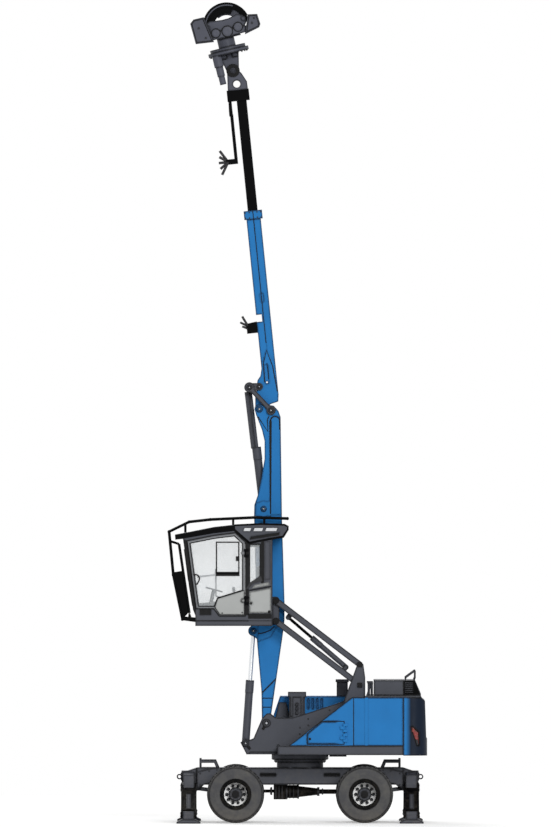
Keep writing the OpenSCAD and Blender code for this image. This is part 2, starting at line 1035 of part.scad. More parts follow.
// Lugs for the rods of the boom cylinders
module boom_lugs() {
  for (y = [[-boom_half, -boom_half + 34], [-48, 48], [boom_half - 34, boom_half]])
    side(y[0], y[1])
      union() {
        translate(cyl_head)
          circle(100);
        polygon([[-930, 3575], [-800, 3470], [-700, 3470], [-700, 3860], [-800, 3860], [-930, 3735]]);
      }
  for (y = [[-boom_half, -boom_half + 34], [-48, 48], [boom_half - 34, boom_half]])
    pin(cyl_head, 48, y[0] - 6, y[1] + 6);
}

// A cylinder along its own Z, from the foot's eye
module barrel(eye_r, eye_w, bore_r, tube_r, head_r, length, rod_r, depth) {
  difference() {
    union() {
      pin([0, 0], eye_r, -eye_w / 2, eye_w / 2);
      cylinder(r = tube_r, h = length);
      translate([0, 0, length - 240])
        cylinder(r = head_r, h = 240);
    }
    pin([0, 0], bore_r, -eye_w, eye_w);
    translate([0, 0, depth])
      cylinder(r = rod_r, h = length);
    translate([-eye_r - 50, -tube_r - 50, -eye_r - 50])
      cube([2 * eye_r + 100, tube_r + 50 - eye_w / 2, 2 * eye_r + 50]);
    translate([-eye_r - 50, eye_w / 2, -eye_r - 50])
      cube([2 * eye_r + 100, tube_r + 50 - eye_w / 2, 2 * eye_r + 50]);
  }
}

// A rod along its own Z, from its lower end to the eye, which is solid where its bore is 0
module rod(start, length, r, eye_r, eye_w, bore_r) {
  difference() {
    union() {
      translate([0, 0, start])
        cylinder(r = r, h = length - start);
      pin([0, length], eye_r, -eye_w / 2, eye_w / 2);
    }
    if (bore_r > 0)
      pin([0, length], bore_r, -eye_w, eye_w);
  }
}

// Places a cylinder's Z along the line from p to q
module aimed(p, q, y) {
  translate([p[0], y, p[1]])
    rotate([0, 90 - atan2(q[1] - p[1], q[0] - p[0]), 0])
      children();
}

boom_cyl_y = 105;
boom_cyl_len = norm(cyl_head - cyl_foot);
boom_barrel_len = 1204;

module boom_barrels() {
  color(grey)
    for (y = [-boom_cyl_y, boom_cyl_y])
      aimed(cyl_foot, cyl_head, y)
        barrel(82, 120, 45 + play, 74, 80, boom_barrel_len, 39 + play, 100);
}

module boom_rods() {
  color(chrome)
    for (y = [-boom_cyl_y, boom_cyl_y])
      aimed(cyl_foot, cyl_head, y)
        rod(900, boom_cyl_len, 39, 84, 84, 50);
}

module stick() {
  color(blue)
  in_stick()
    difference() {
      union() {
        side(-foot_half, foot_half)
          union() {
            polygon(stick_line);
            circle(90);
          }
        side(-stick_half, stick_half)
          polygon([[tube_u0, 700], [tube_u1, 700], [tube_u1, tube_end + 10], [tube_u0, tube_end + 10]]);
        side(-stick_half - 30, stick_half + 30)
          polygon([[tube_u0 - 38, tube_end], [tube_u1 + 38, tube_end], [tube_u1 + 38, tube_end + 166],
                   [tube_u0 - 38, tube_end + 166]]);
        pin(link_at, 40, -link_y0 - link_t - 6, link_y0 + link_t + 6);
        both()
          side(stick_half - 2, foot_half)
            polygon([[150, 860], [340, 860], [340, 900], [290, 1040], [242, 1107], [190, 1000]]);
        both()
          side(stick_half - 2, stick_half + 5)
            polygon([[258, 880], [tube_u1 - 2, 880], [tube_u1 - 2, tube_end + 5], [258, tube_end + 5]]);
      }
      pin([0, 0], 50 + play, -300, 300);
      both() {
        side(stick_half - 8, stick_half + 10)
          link([258, 2050], [258, 2160], 38, 38);
        side(foot_half - 10, foot_half + 10)
          link([194, 500], [210, 800], 45, 40);
      }
      pin([194, 494], 16, -300, 300);
      side(-slot_half, slot_half)
        polygon(slot_line);
      side(-300, 300)
        polygon([[60, 1655], [221, 1655], [221, 1790], [60, 1790]]);
      side(-tele_half - play, tele_half + play)
        polygon([[tele_u0 - play, 920], [tele_u1 + play, 920], [tele_u1 + play, 4000],
                 [tele_u0 - play, 4000]]);
    }
}

// Bulkhead with five hose ends on the front of the stick
module stick_fittings() {
  color(black)
  in_stick() {
    side(-90, 90)
      polygon([[-88, 1450], [115, 1450], [115, 1667], [-88, 1640]]);
    for (i = [-2 : 2])
      bar([-60, i * 34, 1600], [-150 + 8 * abs(i), i * 44, 1790 - 20 * abs(i)], 14);
  }
}

module idlers() {
  color(grey)
    both() {
      difference() {
        side(idler_y0, idler_y0 + idler_t)
          union() {
            link(idler_pin, rocker_pin, 46, 46);
            translate(idler_pin)
              circle(88);
            translate(rocker_pin)
              circle(98);
          }
        pin(idler_pin, 45 + play, 0, 400);
      }
      pin(rocker_pin, 44, link_y0 + link_t + run, idler_y0 + idler_t + 10);
    }
}

module push_links() {
  color(grey)
    both() {
      difference() {
        side(link_y0, link_y0 + link_t)
          link(link_pin, rocker_pin, 70, 82);
        pin(link_pin, 40 + play, 0, 400);
      }
      pin(rocker_pin, rocker_r, slot_half, link_y0 + 2);
    }
}

stick_cyl_len = norm(rocker_pin - stick_cyl_foot);
stick_barrel_len = 1185;

module stick_barrel() {
  color(grey)
    aimed(stick_cyl_foot, rocker_pin, 0)
      barrel(88, 92, 45 + play, 80, 86, stick_barrel_len, 39 + play, 100);
}

module stick_rod() {
  color(grey)
    aimed(stick_cyl_foot, rocker_pin, 0) {
      rod(1005, stick_cyl_len, 39, rod_eye_r, rod_eye_w, 0);
      difference() {
        translate([0, 0, stick_barrel_len - 20])
          cylinder(r = 104, h = stick_cyl_len - stick_barrel_len - 60);
        translate([0, 0, stick_barrel_len - 30])
          cylinder(r = 95, h = stick_cyl_len - stick_barrel_len - 90);
        translate([-20, -200, stick_barrel_len - 40])
          cube([400, 400, stick_cyl_len]);
      }
    }
}

module telescope() {
  color(black)
  in_stick() {
    side(-tele_half, tele_half)
      polygon([[tele_u0, 2950], [tele_u1, 2950], [tele_u1, 5900], [tele_u0, 5900]]);
    side(-110, 110)
      polygon([[-15, 5880], [409, 5880], [409, 6095], [-15, 6095]]);
    both()
      difference() {
        side(yoke_in, yoke_in + 40)
          union() {
            polygon(yoke_line);
            translate(tilt_pin)
              circle(128);
          }
        pin([192, 6203], 68, 0, 300);
      }
    pin(tilt_pin, 55, -yoke_in - 50, yoke_in + 50);
    hose_rail();
  }
}

// Strut, rail and five hose ends in front of the telescope
module hose_rail() {
  side(-40, 40)
    polygon([[-10, 5600], [60, 5600], [60, 5890], [0, 5890], [-10, 5700]]);
  side(-30, 30)
    polygon([[4, 4690], [66, 4690], [66, 5640], [4, 5640]]);
  side(-80, 80)
    polygon([[-150, 4690], [40, 4690], [40, 4790], [-150, 4790]]);
  for (i = [-2 : 2])
    bar([-120, i * 32, 4740], [-300 + 20 * abs(i), i * 34, 4740 + 115 * i], 15);
}

module tilt_frame() {
  color(grey)
  in_head() {
    difference() {
      union() {
        side(-yoke_in + run, yoke_in - run)
          union() {
            circle(120);
            polygon([[-118, 0], [118, 0], [190, 340], [-190, 340]]);
          }
        translate([0, 0, plate_w0])
          cylinder(r = head_r, h = plate_w1 - plate_w0);
        for (u = [-110, 110])
          translate([u - 55, -150, 250])
            cube([110, 300, 90]);
      }
      pin([0, 0], 55 + play, -200, 200);
    }
    translate([-240, -225, 0]) {
      translate([0, 0, 120])
        cylinder(r = 88, h = plate_w0 - 110);
      translate([0, 0, -60])
        cylinder(r = 72, h = 200);
      translate([0, 0, -220])
        cylinder(r = 60, h = 180);
    }
  }
}

// Drums of the grapple frame: place and radius
drums = [[66, 750, 95], [284, 786, 80], [-156, 763, 78]];

module grapple_frame() {
  color(black)
  in_head() {
    translate([0, 0, plate_w1 + play])
      cylinder(r = head_r - 50, h = 60);
    translate([0, 0, plate_w1 + 40])
      cylinder(r = 165, h = 210);
    both()
      side(180, 210)
        polygon(frame_line);
    for (d = drums)
      pin([d[0], d[1]], d[2], -226, 226);
    translate([-140, -200, 630])
      cube([440, 400, 60]);
    for (p = [claw_l, claw_r])
      pin(p, 45, -228, 228);
    side(-315, -205)
      polygon(saw_box);
    side(-315, -205)
      polygon(tip_box);
    side(-260, -205)
      polygon([[-400, 640], [560, 660], [560, 780], [-400, 780]]);
  }
}

// A curved claw: its arc runs from angle a0 to a1 round the jaw's middle
module claw_arc(a0, a1) {
  intersection() {
    difference() {
      translate(jaw)
        circle(457);
      translate(jaw)
        circle(352);
    }
    polygon([jaw, jaw + 700 * [cos(a0), sin(a0)], jaw + 990 * [cos((a0 + a1) / 2), sin((a0 + a1) / 2)],
             jaw + 700 * [cos(a1), sin(a1)]]);
  }
}

module claw_left() {
  color(black)
  in_head()
    difference() {
      union() {
        both()
          side(172 - claw_t, 172)
            union() {
              claw_arc(165, 52);
              translate(claw_l)
                circle(88);
            }
        pin(claw_l, 80, -172, 172);
      }
      pin(claw_l, 45 + play, -300, 300);
    }
}

module claw_right() {
  color(black)
  in_head()
    difference() {
      union() {
        side(-70, 70)
          union() {
            claw_arc(15, 128);
            translate(claw_r)
              circle(88);
          }
        pin(claw_r, 80, -172, 172);
      }
      pin(claw_r, 45 + play, -300, 300);
    }
}

// A lift arm: two bars with cross tubes, and two lugs for the cylinder
module lift_arm(a, b, lug_at, lug_off) {
  d = unit(b - a);
  n = [d[1], -d[0]];
  lug = a + d * lug_at + n * lug_off;
  mid = a + d * norm(b - a) * 0.5;
  difference() {
    union() {
      for (y = [-bar_y1, -bar_y0 - bar_t])
        side(y, y + bar_t)
          link(a, b, bar_r, bar_r);
      for (p = [a + d * lug_at, mid])
        pin(p, 42, -bar_y1 + 5, -bar_y0 - 5);
      for (y = [-lift_y - 66, -lift_y + 46])
        side(y, y + 20)
          link(lug, a + d * lug_at, 48, 50);
    }
    for (p = [a, b])
      pin(p, 40 + play, -bar_y1 - 50, 0);
  }
}

lift_lower_lug = tower_low + unit(cab_low - tower_low) * 415
                 + [unit(cab_low - tower_low)[1], -unit(cab_low - tower_low)[0]] * 110;
lift_upper_lug = tower_top + unit(cab_top - tower_top) * 1623
                 - [unit(cab_top - tower_top)[1], -unit(cab_top - tower_top)[0]] * 112;
lift_len = norm(lift_upper_lug - lift_lower_lug);

module lift_arm_upper() {
  color(grey)
    lift_arm(tower_top, cab_top, 1623, -112);
}

module lift_arm_lower() {
  color(grey) {
    lift_arm(tower_low, cab_low, 415, 110);
    pin(lift_lower_lug, 30, -lift_y - 66, -lift_y + 66);
  }
}

module lift_barrel() {
  color(grey)
    aimed(lift_lower_lug, lift_upper_lug, -lift_y)
      barrel(52, 84, 30 + play, 50, 56, 860, 28 + play, 120);
}

module lift_rod() {
  color(chrome)
    aimed(lift_lower_lug, lift_upper_lug, -lift_y)
      rod(640, lift_len, 28, 50, 84, 30);
}

module cab_shell() {
  color(grey)
    for (z = cab_hinges)
      hinge_fixed(cab_axis, -cab_out, z);
  color(grey)
  difference() {
    union() {
      side(-cab_out, -cab_in)
        polygon(shell_line);
      for (y = [-bar_y1 + bar_t + run, -bar_y0 - bar_t - run - 40])
        side(y, y + 40)
          union() {
            for (p = [cab_top, cab_low])
              translate(p)
                circle(72);
            polygon([[-540, 3760], [-461, 3762], [-392, 3834], [-392, 4224], [-461, 4296], [-540, 4296]]);
          }
      for (p = [cab_top, cab_low]) {
        pin(p, 40, -bar_y1 - 8, -bar_y1 + bar_t + run + 20);
        pin(p, 40, -bar_y0 - bar_t - run - 20, -bar_y0 - run);
      }
    }
    side(-cab_out + cab_wall, -cab_in - cab_wall)
      polygon(room_line);
    side(-cab_out - 10, -cab_out + cab_wall + 10)
      polygon(grown(cab_door_line, run));
    side(-cab_out - 10, -cab_out + cab_wall + 10)
      polygon(quarter_window);
    side(-cab_in - cab_wall - 10, -cab_in + 10)
      polygon(far_window);
    side(-cab_out + screen_side, -cab_in - screen_side)
      polygon([[screen_head - 99, screen_top], [screen_head - 99, screen_low],
               [screen_foot + 175, screen_low], [screen_head + 201, screen_top]]);
    translate([-600, -cab_out + back_side, back_low])
      cube([100, cab_out - cab_in - 2 * back_side, back_top - back_low]);
    cab_pockets();
  }
}

// Shallow pockets in the cab's sides: roof lights, step recess and the line over the floor rail
module cab_pockets() {
  for (y = [-cab_out - 10, -cab_in - pocket_t])
    side(y, y + pocket_t + 10) {
      for (r = roof_lights)
        polygon([[r[0], 5545], [r[1], 5545], [r[1] + 25, 5610], [r[0] + 25, 5610]]);
      polygon([[-960, 5385], [-400, 5470], [-385, 5525], [-930, 5445]]);
    }
  side(-cab_out - 10, -cab_out + pocket_t)
    union() {
      polygon([[-1905, 3955], [-1690, 3955], [-1690, 4070], [-1905, 4070]]);
      polygon([[-2000, 3838], [-500, 3838], [-500, 3850], [-2000, 3850]]);
    }
}

// Lid of the rear locker on the outer side of the cab, with the hole for its lock
module cab_panels() {
  color(pale)
    side(-cab_out - panel_t, -cab_out)
      difference() {
        polygon([[-965, 3989], [-548, 3989], [-548, 4477], [-965, 4397]]);
        translate([-930, 4180])
          circle(18);
      }
}

module cab_glass() {
  color(glass) {
    side(-cab_out + screen_side, -cab_in - screen_side)
      polygon([[screen_foot, screen_low], [screen_foot + pane_t, screen_low],
               [screen_head + pane_t, screen_top], [screen_head, screen_top]]);
    side(-cab_out + pane_set, -cab_out + pane_set + pane_t)
      polygon(quarter_window);
    side(-cab_in - pane_set - pane_t, -cab_in - pane_set)
      polygon(far_window);
    translate([-550, -cab_out + back_side, back_low])
      cube([pane_t, cab_out - cab_in - 2 * back_side, back_top - back_low]);
  }
}

module cab_door() {
  color(grey)
    for (z = cab_hinges)
      hinge_moving(cab_axis, -cab_out, z);
  color(pale)
    side(-cab_out - door_panel_t, -cab_out + 5)
      polygon(door_panel);
  color(grey)
  difference() {
    side(-cab_out, -cab_out + cab_wall)
      polygon(cab_door_line);
    side(-cab_out - 10, -cab_out + cab_wall + 10)
      polygon(door_window);
  }
}

module door_glass() {
  color(glass)
    side(-cab_out + pane_set, -cab_out + pane_set + pane_t)
      polygon(door_window);
}

// Path of the guard rail in the side view
guard_path = [
  [-240, 5785], [-860, 5805], [-1705, 5766], [-2111, 5721], [-2490, 5536], [-2410, 4717], [-2235, 3871]
];
guard_posts = [[-2181, 5700, 5509], [-1272, 5780, 5655], [-682, 5795, 5679]];

module cab_guard() {
  color(black) {
    for (y = [-cab_out + guard_in, -cab_in - guard_in]) {
      for (i = [0 : len(guard_path) - 2])
        bar([guard_path[i][0], y, guard_path[i][1]], [guard_path[i + 1][0], y, guard_path[i + 1][1]], 26);
      for (p = guard_path)
        translate([p[0], y, p[1]])
          sphere(30);
      for (p = guard_posts)
        bar([p[0], y, p[2] + 12], [p[0], y, p[1]], 22);
      side(y - 20, y + 20)
        polygon([[-2260, 3850], [-2210, 3850], [-1992, 3820], [-1992, 3900], [-2210, 3920], [-2260, 3920]]);
    }
    for (p = [guard_path[0], guard_path[4], guard_path[5], guard_path[6]])
      guard_rung(p[0], p[1], 24);
    for (i = [1 : 3])
      guard_rung(-2490 + 20 * i, 5536 - 205 * i, 10);
    for (y = [-cab_out + guard_in, -cab_in - guard_in])
      guard_side(y);
    for (i = [1 : 6])
      guard_rung(-2418 + 27 * i, 4717 - 130 * i, 10);
  }
}

// A bar across the guard, from one side tube to the other
module guard_rung(x, z, r) {
  bar([x, -cab_out + guard_in, z], [x, -cab_in - guard_in, z], r);
}

// Inner bar and screen plate on one side of the front guard
module guard_side(y) {
  bar([-2301, y, 5300], [-2105, y, 3990], 24);
  bar([-2301, y, 5300], [-2455, y, 5350], 20);
  side(y - 8, y + 8)
    polygon([[-2420, 4760], [-2225, 4790], [-2110, 4010], [-2215, 3890], [-2245, 3890]]);
  side(y - 20, y + 20)
    polygon([[-2120, 3980], [-2090, 3980], [-2060, 3885], [-2130, 3885]]);
}

module cab_seat() {
  color(black) {
    translate([-1180, -990, 3807])
      cube([420, 380, 260]);
    side(-1050, -550)
      polygon([[-1260, 4067], [-760, 4067], [-760, 4180], [-1260, 4200]]);
    side(-1040, -560)
      polygon([[-860, 4170], [-720, 4170], [-640, 4900], [-740, 4900]]);
    side(-920, -680)
      polygon([[-738, 4890], [-640, 4890], [-625, 5080], [-715, 5080]]);
    for (y = [-1130, -550])
      translate([-1300, y, 3807])
        cube([520, 78, 500]);
    for (y = [-1091, -511])
      bar([-1250, y, 4300], [-1280, y, 4470], 18);
    translate([-1757, -800, 3807])
      cylinder(r = 70, h = 40);
    bar([-1757, -800, 3830], [-1640, -800, 4420], 40);
    translate([-1640, -800, 4420])
      rotate([0, 15, 0])
        cylinder(r = 170, h = 30);
  }
}

chassis();
axles();
driveline();
knuckle_left();
knuckle_right();
tyre_front_left();
tyre_front_right();
tyre_rear_left();
tyre_rear_right();
rim_front_left();
rim_front_right();
rim_rear_left();
rim_rear_right();
arm_front_left();
arm_front_right();
arm_rear_left();
arm_rear_right();
pad_front_left();
pad_front_right();
pad_rear_left();
pad_rear_right();
upper_frame();
main_plates();
cab_tower();
counterweight();
left_body();
right_body();
engine_house();
engine_hood();
engine_block();
service_door();
valve_block();
air_cleaner();
rear_lamps();
boom();
boom_barrels();
boom_rods();
stick();
stick_fittings();
idlers();
push_links();
stick_barrel();
stick_rod();
telescope();
tilt_frame();
grapple_frame();
claw_left();
claw_right();
lift_arm_upper();
lift_arm_lower();
lift_barrel();
lift_rod();
cab_shell();
cab_panels();
cab_glass();
cab_door();
door_glass();
cab_guard();
cab_seat();
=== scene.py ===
"""Looks of a wheeled material handler with a telescopic stick, a rising cab and a felling grapple."""

import json
import math

import bmesh
import bpy
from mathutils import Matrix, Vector


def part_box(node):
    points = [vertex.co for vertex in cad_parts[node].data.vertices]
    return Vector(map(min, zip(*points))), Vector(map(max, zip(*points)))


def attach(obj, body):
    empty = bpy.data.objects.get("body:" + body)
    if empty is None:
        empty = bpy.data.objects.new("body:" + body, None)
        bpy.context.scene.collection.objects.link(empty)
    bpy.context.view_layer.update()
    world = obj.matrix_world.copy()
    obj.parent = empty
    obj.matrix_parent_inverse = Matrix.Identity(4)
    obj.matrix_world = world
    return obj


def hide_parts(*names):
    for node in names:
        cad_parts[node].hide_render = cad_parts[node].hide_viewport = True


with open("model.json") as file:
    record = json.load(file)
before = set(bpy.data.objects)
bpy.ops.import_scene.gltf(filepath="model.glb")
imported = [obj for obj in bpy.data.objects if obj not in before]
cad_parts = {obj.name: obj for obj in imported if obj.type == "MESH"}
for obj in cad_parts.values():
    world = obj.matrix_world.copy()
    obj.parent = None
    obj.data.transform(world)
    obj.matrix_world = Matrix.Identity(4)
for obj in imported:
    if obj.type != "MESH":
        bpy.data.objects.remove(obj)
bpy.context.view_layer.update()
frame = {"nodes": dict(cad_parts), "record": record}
nodes = frame["nodes"]
corners = ("front_left", "front_right", "rear_left", "rear_right")

# Wheels, in metres as everything below
axle_x = 1.225
tyre_r = 0.545
tyre_w = 0.27
bead_r = 0.263
flange_r = 0.291
twin_middles = (0.805, 1.115)
disc_y = 0.95
disc_t = 0.02
white_r = 0.219
lug_r = 0.167
hub_r = 0.128
cap_r = 0.064
barrel_r = 0.23
lug_ring_r = 0.145
lug_count = 10

# Side planes of the larger pieces, measured from the middle of the machine
body_half = 1.25
plate_out = 0.255
boom_half = 0.19
doubler_t = 0.01
cab_out = 1.27
cab_in = 0.33
gusset_out = 0.422
foot_pin_half = 0.27
hood_half = 1.0
stick_half = 0.12
cheek_half = 0.128
collar_half = 0.15
saw_half = 0.315

# The left and the right side as signs of Y, the seat's middle and the cab's floor
ways = (-1, 1)
seat_y = -0.8
cab_floor = 3.808

# Outriggers: the middle of an arm in X, and its pins given across the machine and upwards
arm_x = 2.1185
arm_hinge = (0.43, 0.66)
arm_foot = (1.48, 0.162)

# How far seams, welds and pin plates stand out of their faces, the last on the left and right side
seam_rise = 0.004
weld_rise = 0.005
cap_rises = (0.012, 0.012)

# Pins, leans and lamps in the side view, the tilt pin across and along the stick
boom_foot = (-0.638, 1.888)
cyl_foot = (-1.036, 1.501)
cyl_head = (-0.887, 3.642)
stick_cyl_foot = (-0.693, 5.966)
stick_pin = (-0.772, 7.866)
idler_pin = (-0.551, 7.841)
rocker_pin = (-0.964, 8.279)
link_pin = (-0.775, 8.294)
tower_pins = ((1.135, 3.006), (1.135, 2.616))
cab_pins = ((-0.461, 4.224), (-0.461, 3.834))
stick_lean = math.radians(5.77)
head_lean = math.radians(13.3)
tilt_pin = (0.146, 6.465)
lamp_lenses = ((2.15, 1.76), (2.192, 1.69), (2.215, 1.61))


def corner_signs(corner):
    """The signs of X and Y at a corner of the machine."""
    return 1 if corner.startswith("rear") else -1, -1 if corner.endswith("left") else 1


def at(point, y):
    """A point of the side view, set at y."""
    return (point[0], y, point[1])


def turned(origin, lean, u, v):
    """A point given along and across a leaning piece, in the side view."""
    return (origin[0] + u * math.cos(lean) - v * math.sin(lean),
            origin[1] + u * math.sin(lean) + v * math.cos(lean))


def in_stick(u, v):
    return turned(stick_pin, stick_lean, u, v)


head_at = in_stick(*tilt_pin)


def in_head(u, w):
    return turned(head_at, head_lean, u, w)


# Meshes


forms = []


class Form:
    """One piece: its vertices and faces in the machine's frame, and what it is made of and rides on."""

    def __init__(self, name, material, body, slot=None, stands_for=(), bevel=0.0, smooth=35):
        self.name = name
        self.material = material
        self.body = body
        self.slot = slot
        self.stands_for = stands_for
        self.bevel = bevel
        self.smooth = math.radians(smooth)
        self.verts = []
        self.faces = []
        forms.append(self)

    def build(self):
        """Makes the piece's object, with soft edges, and lets it ride on its body."""
        mesh = bpy.data.meshes.new(self.name)
        mesh.from_pydata(self.verts, [], self.faces)
        mesh.materials.append(self.material)
        work = bmesh.new()
        work.from_mesh(mesh)
        bmesh.ops.recalc_face_normals(work, faces=work.faces)
        for face in work.faces:
            face.smooth = True
        for edge in work.edges:
            edge.smooth = len(edge.link_faces) == 2 and edge.calc_face_angle(math.pi) < self.smooth
        work.to_mesh(mesh)
        work.free()
        made = placed(self.name, mesh)
        if self.bevel:
            soft = made.modifiers.new("soft_edges", "BEVEL")
            soft.width = self.bevel
            soft.segments = 2
            soft.limit_method = "ANGLE"
            soft.angle_limit = math.radians(40)
        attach(made, self.body)
        if self.stands_for:
            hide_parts(*self.stands_for)

    def add(self, verts, faces):
        first = len(self.verts)
        self.verts += [tuple(v) for v in verts]
        self.faces += [tuple(first + i for i in f) for f in faces]

    def loft(self, rings, closed=True):
        """Faces between rings of the same number of points. An open loft gets its two end faces."""
        n = len(rings[0])
        verts = [p for ring in rings for p in ring]
        faces = []
        count = len(rings) if closed else len(rings) - 1
        for k in range(count):
            a = k * n
            b = ((k + 1) % len(rings)) * n
            for i in range(n):
                j = (i + 1) % n
                faces.append((a + i, a + j, b + j, b + i))
        if not closed:
            faces.append(tuple(range(n - 1, -1, -1)))
            faces.append(tuple((count * n) + i for i in range(n)))
        self.add(verts, faces)

    def prism(self, outline, y0, y1):
        """An outline in X and Z, from y0 to y1."""
        self.loft([[(x, y, z) for x, z in outline] for y in sorted((y0, y1))], closed=False)

    def strip(self, outline, y0, y1):
        """A band between two lines of points, one there and the other back, from y0 to y1."""
        half = len(outline) // 2
        for k in range(half - 1):
            self.prism([outline[k], outline[k + 1], outline[-k - 2], outline[-k - 1]], y0, y1)

    def box(self, low, high):
        outline = [(low[0], low[2]), (high[0], low[2]), (high[0], high[2]), (low[0], high[2])]
        self.prism(outline, low[1], high[1])

    def rod(self, p, q, r, sides, end_r=None):
        p = Vector(p)
        q = Vector(q)
        u, v = across_of(q - p)
        rings = []
        for centre, radius in ((p, r), (q, r if end_r is None else end_r)):
            rings.append([centre + u * a + v * b for a, b in spots(sides, radius)])
        self.loft(rings, closed=False)

    def tube(self, path, r, sides):
        """A round bar along a path of points, mitred at its bends."""
        points = [Vector(p) for p in path]
        rings = []
        u = None
        for k, p in enumerate(points):
            ahead = points[min(k + 1, len(points) - 1)] - p
            behind = p - points[max(k - 1, 0)]
            along = (ahead.normalized() + behind.normalized()).normalized()
            if u is None:
                u, v = across_of(along)
            else:
                u = (u - along * u.dot(along)).normalized()
                v = along.cross(u)
            rings.append([p + u * a + v * b for a, b in spots(sides, r)])
        self.loft(rings, closed=False)

    def lathe(self, profile, centre, axis, sides):
        """A closed profile of radius and height, turned about an axis."""
        centre = Vector(centre)
        axis = Vector(axis).normalized()
        u, v = across_of(axis)
        rings = []
        for a, b in spots(sides, 1.0):
            rings.append([centre + (u * a + v * b) * r + axis * h for r, h in profile])
        self.loft(rings)

    def washer(self, centre, axis, inner, outer, thick, sides):
        self.lathe([(inner, 0), (outer, 0), (outer, thick), (inner, thick)], centre, axis, sides)

    def bolt(self, centre, axis, r, rise):
        """A hexagon head on a washer."""
        centre = Vector(centre)
        axis = Vector(axis).normalized()
        base = centre - axis * 0.002
        self.rod(base, centre + axis * rise * 0.25, r * 1.25, 16)
        self.rod(base, centre + axis * rise, r, 6, r * 0.94)

    def pin_plate(self, point, y, out, r, rise):
        """A round plate with a stepped middle on a pin's end, on a face that looks along Y."""
        self.lathe([(0, -0.004), (r, -0.004), (r, rise * 0.7), (r * 0.9, rise), (r * 0.55, rise),
                    (r * 0.5, rise * 0.5), (0, rise * 0.5)], at(point, y), (0, out, 0), 40)

    def band(self, points, width, y, rise):
        """A flat band round a closed outline in the side view, standing out by rise from y."""
        self.line(points, width, y, rise, closed=True)

    def lines(self, points, width, half, rise):
        """The same open band on both sides of the machine."""
        for way in ways:
            self.line(points, width, way * half, way * rise)

    def line(self, points, width, y, rise, closed=False):
        """A flat band along a line of points in the side view, standing out by rise from y."""
        n = len(points)
        outer = []
        inner = []
        for k in range(n):
            p = Vector(points[k])
            a = p - Vector(points[k - 1])
            b = Vector(points[(k + 1) % n]) - p
            if not closed and k == 0:
                a = b
            if not closed and k == n - 1:
                b = a
            side = mitre(a, b, 0.4) * width / 2
            outer.append(p + side)
            inner.append(p - side)
        for k in range(n if closed else n - 1):
            j = (k + 1) % n
            self.prism([outer[k], outer[j], inner[j], inner[k]], y, y + rise)


def across_of(along):
    """Two unit vectors square to a direction and to each other."""
    along = along.normalized()
    other = Vector((0, 0, 1)) if abs(along.z) < 0.9 else Vector((1, 0, 0))
    u = along.cross(other).normalized()
    return u, along.cross(u)


def spots(count, r, shift=0.0):
    """Points round a circle, moved on by a share of one step."""
    angles = [2 * math.pi * (k + shift) / count for k in range(count)]
    return [(r * math.cos(a), r * math.sin(a)) for a in angles]


def arc_line(centre, r, start, end, steps=8):
    """Points along an arc, with angles in degrees."""
    angles = [math.radians(start + (end - start) * k / steps) for k in range(steps + 1)]
    return [(centre[0] + r * math.cos(a), centre[1] + r * math.sin(a)) for a in angles]


def mitre(a, b, least):
    """The step to the right of a bend from one direction to another, longer where the bend is sharp.

    A larger least keeps it shorter at the sharpest bends."""
    a = a.normalized()
    b = b.normalized()
    normal = Vector((a[1] + b[1], -a[0] - b[0]))
    return normal / max(normal.length_squared / 2, least)


def grown(points, d):
    """A closed outline moved outwards by d, for points that run anticlockwise."""
    made = []
    for k, point in enumerate(points):
        p = Vector(point)
        ahead = Vector(points[(k + 1) % len(points)]) - p
        made.append(tuple(p + mitre(p - Vector(points[k - 1]), ahead, 0.3) * d))
    return made


def placed(name, data):
    """A new object in the scene."""
    made = bpy.data.objects.new(name, data)
    bpy.context.scene.collection.objects.link(made)
    return made


def pin_ends(name, rows, material, body):
    """Ends of pins on both sides: plates in the carrier's paint, dark rings and bright centre bolts.

    A row has the pin, how far out it ends, the plates' radius, and how far the left and the right
    plate stand out."""
    plates = Form(name + "_plates", material, body, bevel=0.001)
    rings = Form(name + "_rings", seal_and_shade, body)
    centres = Form(name + "_bolts", bright, body, bevel=0.001)
    for point, half, r, rises in rows:
        for way, rise in zip(ways, rises):
            out = Vector((0, way, 0))
            middle = Vector(at(point, way * half))
            plates.pin_plate(point, way * half, way, r, rise)
            rings.washer(middle, out, r * 0.96, r * 1.16, rise * 0.6, 40)
            rings.washer(middle + out * rise * 0.4, out, r * 0.34, r * 0.5, rise * 0.5, 32)
            centres.bolt(middle + out * rise * 0.5, out, r * 0.24, rise)


# Materials


def linear(r, g, b):
    """A colour of 0 to 255 a channel as a linear one."""
    shares = [c / 255 for c in (r, g, b)]
    return tuple(s / 12.92 if s <= 0.04045 else ((s + 0.055) / 1.055) ** 2.4 for s in shares) + (1.0,)


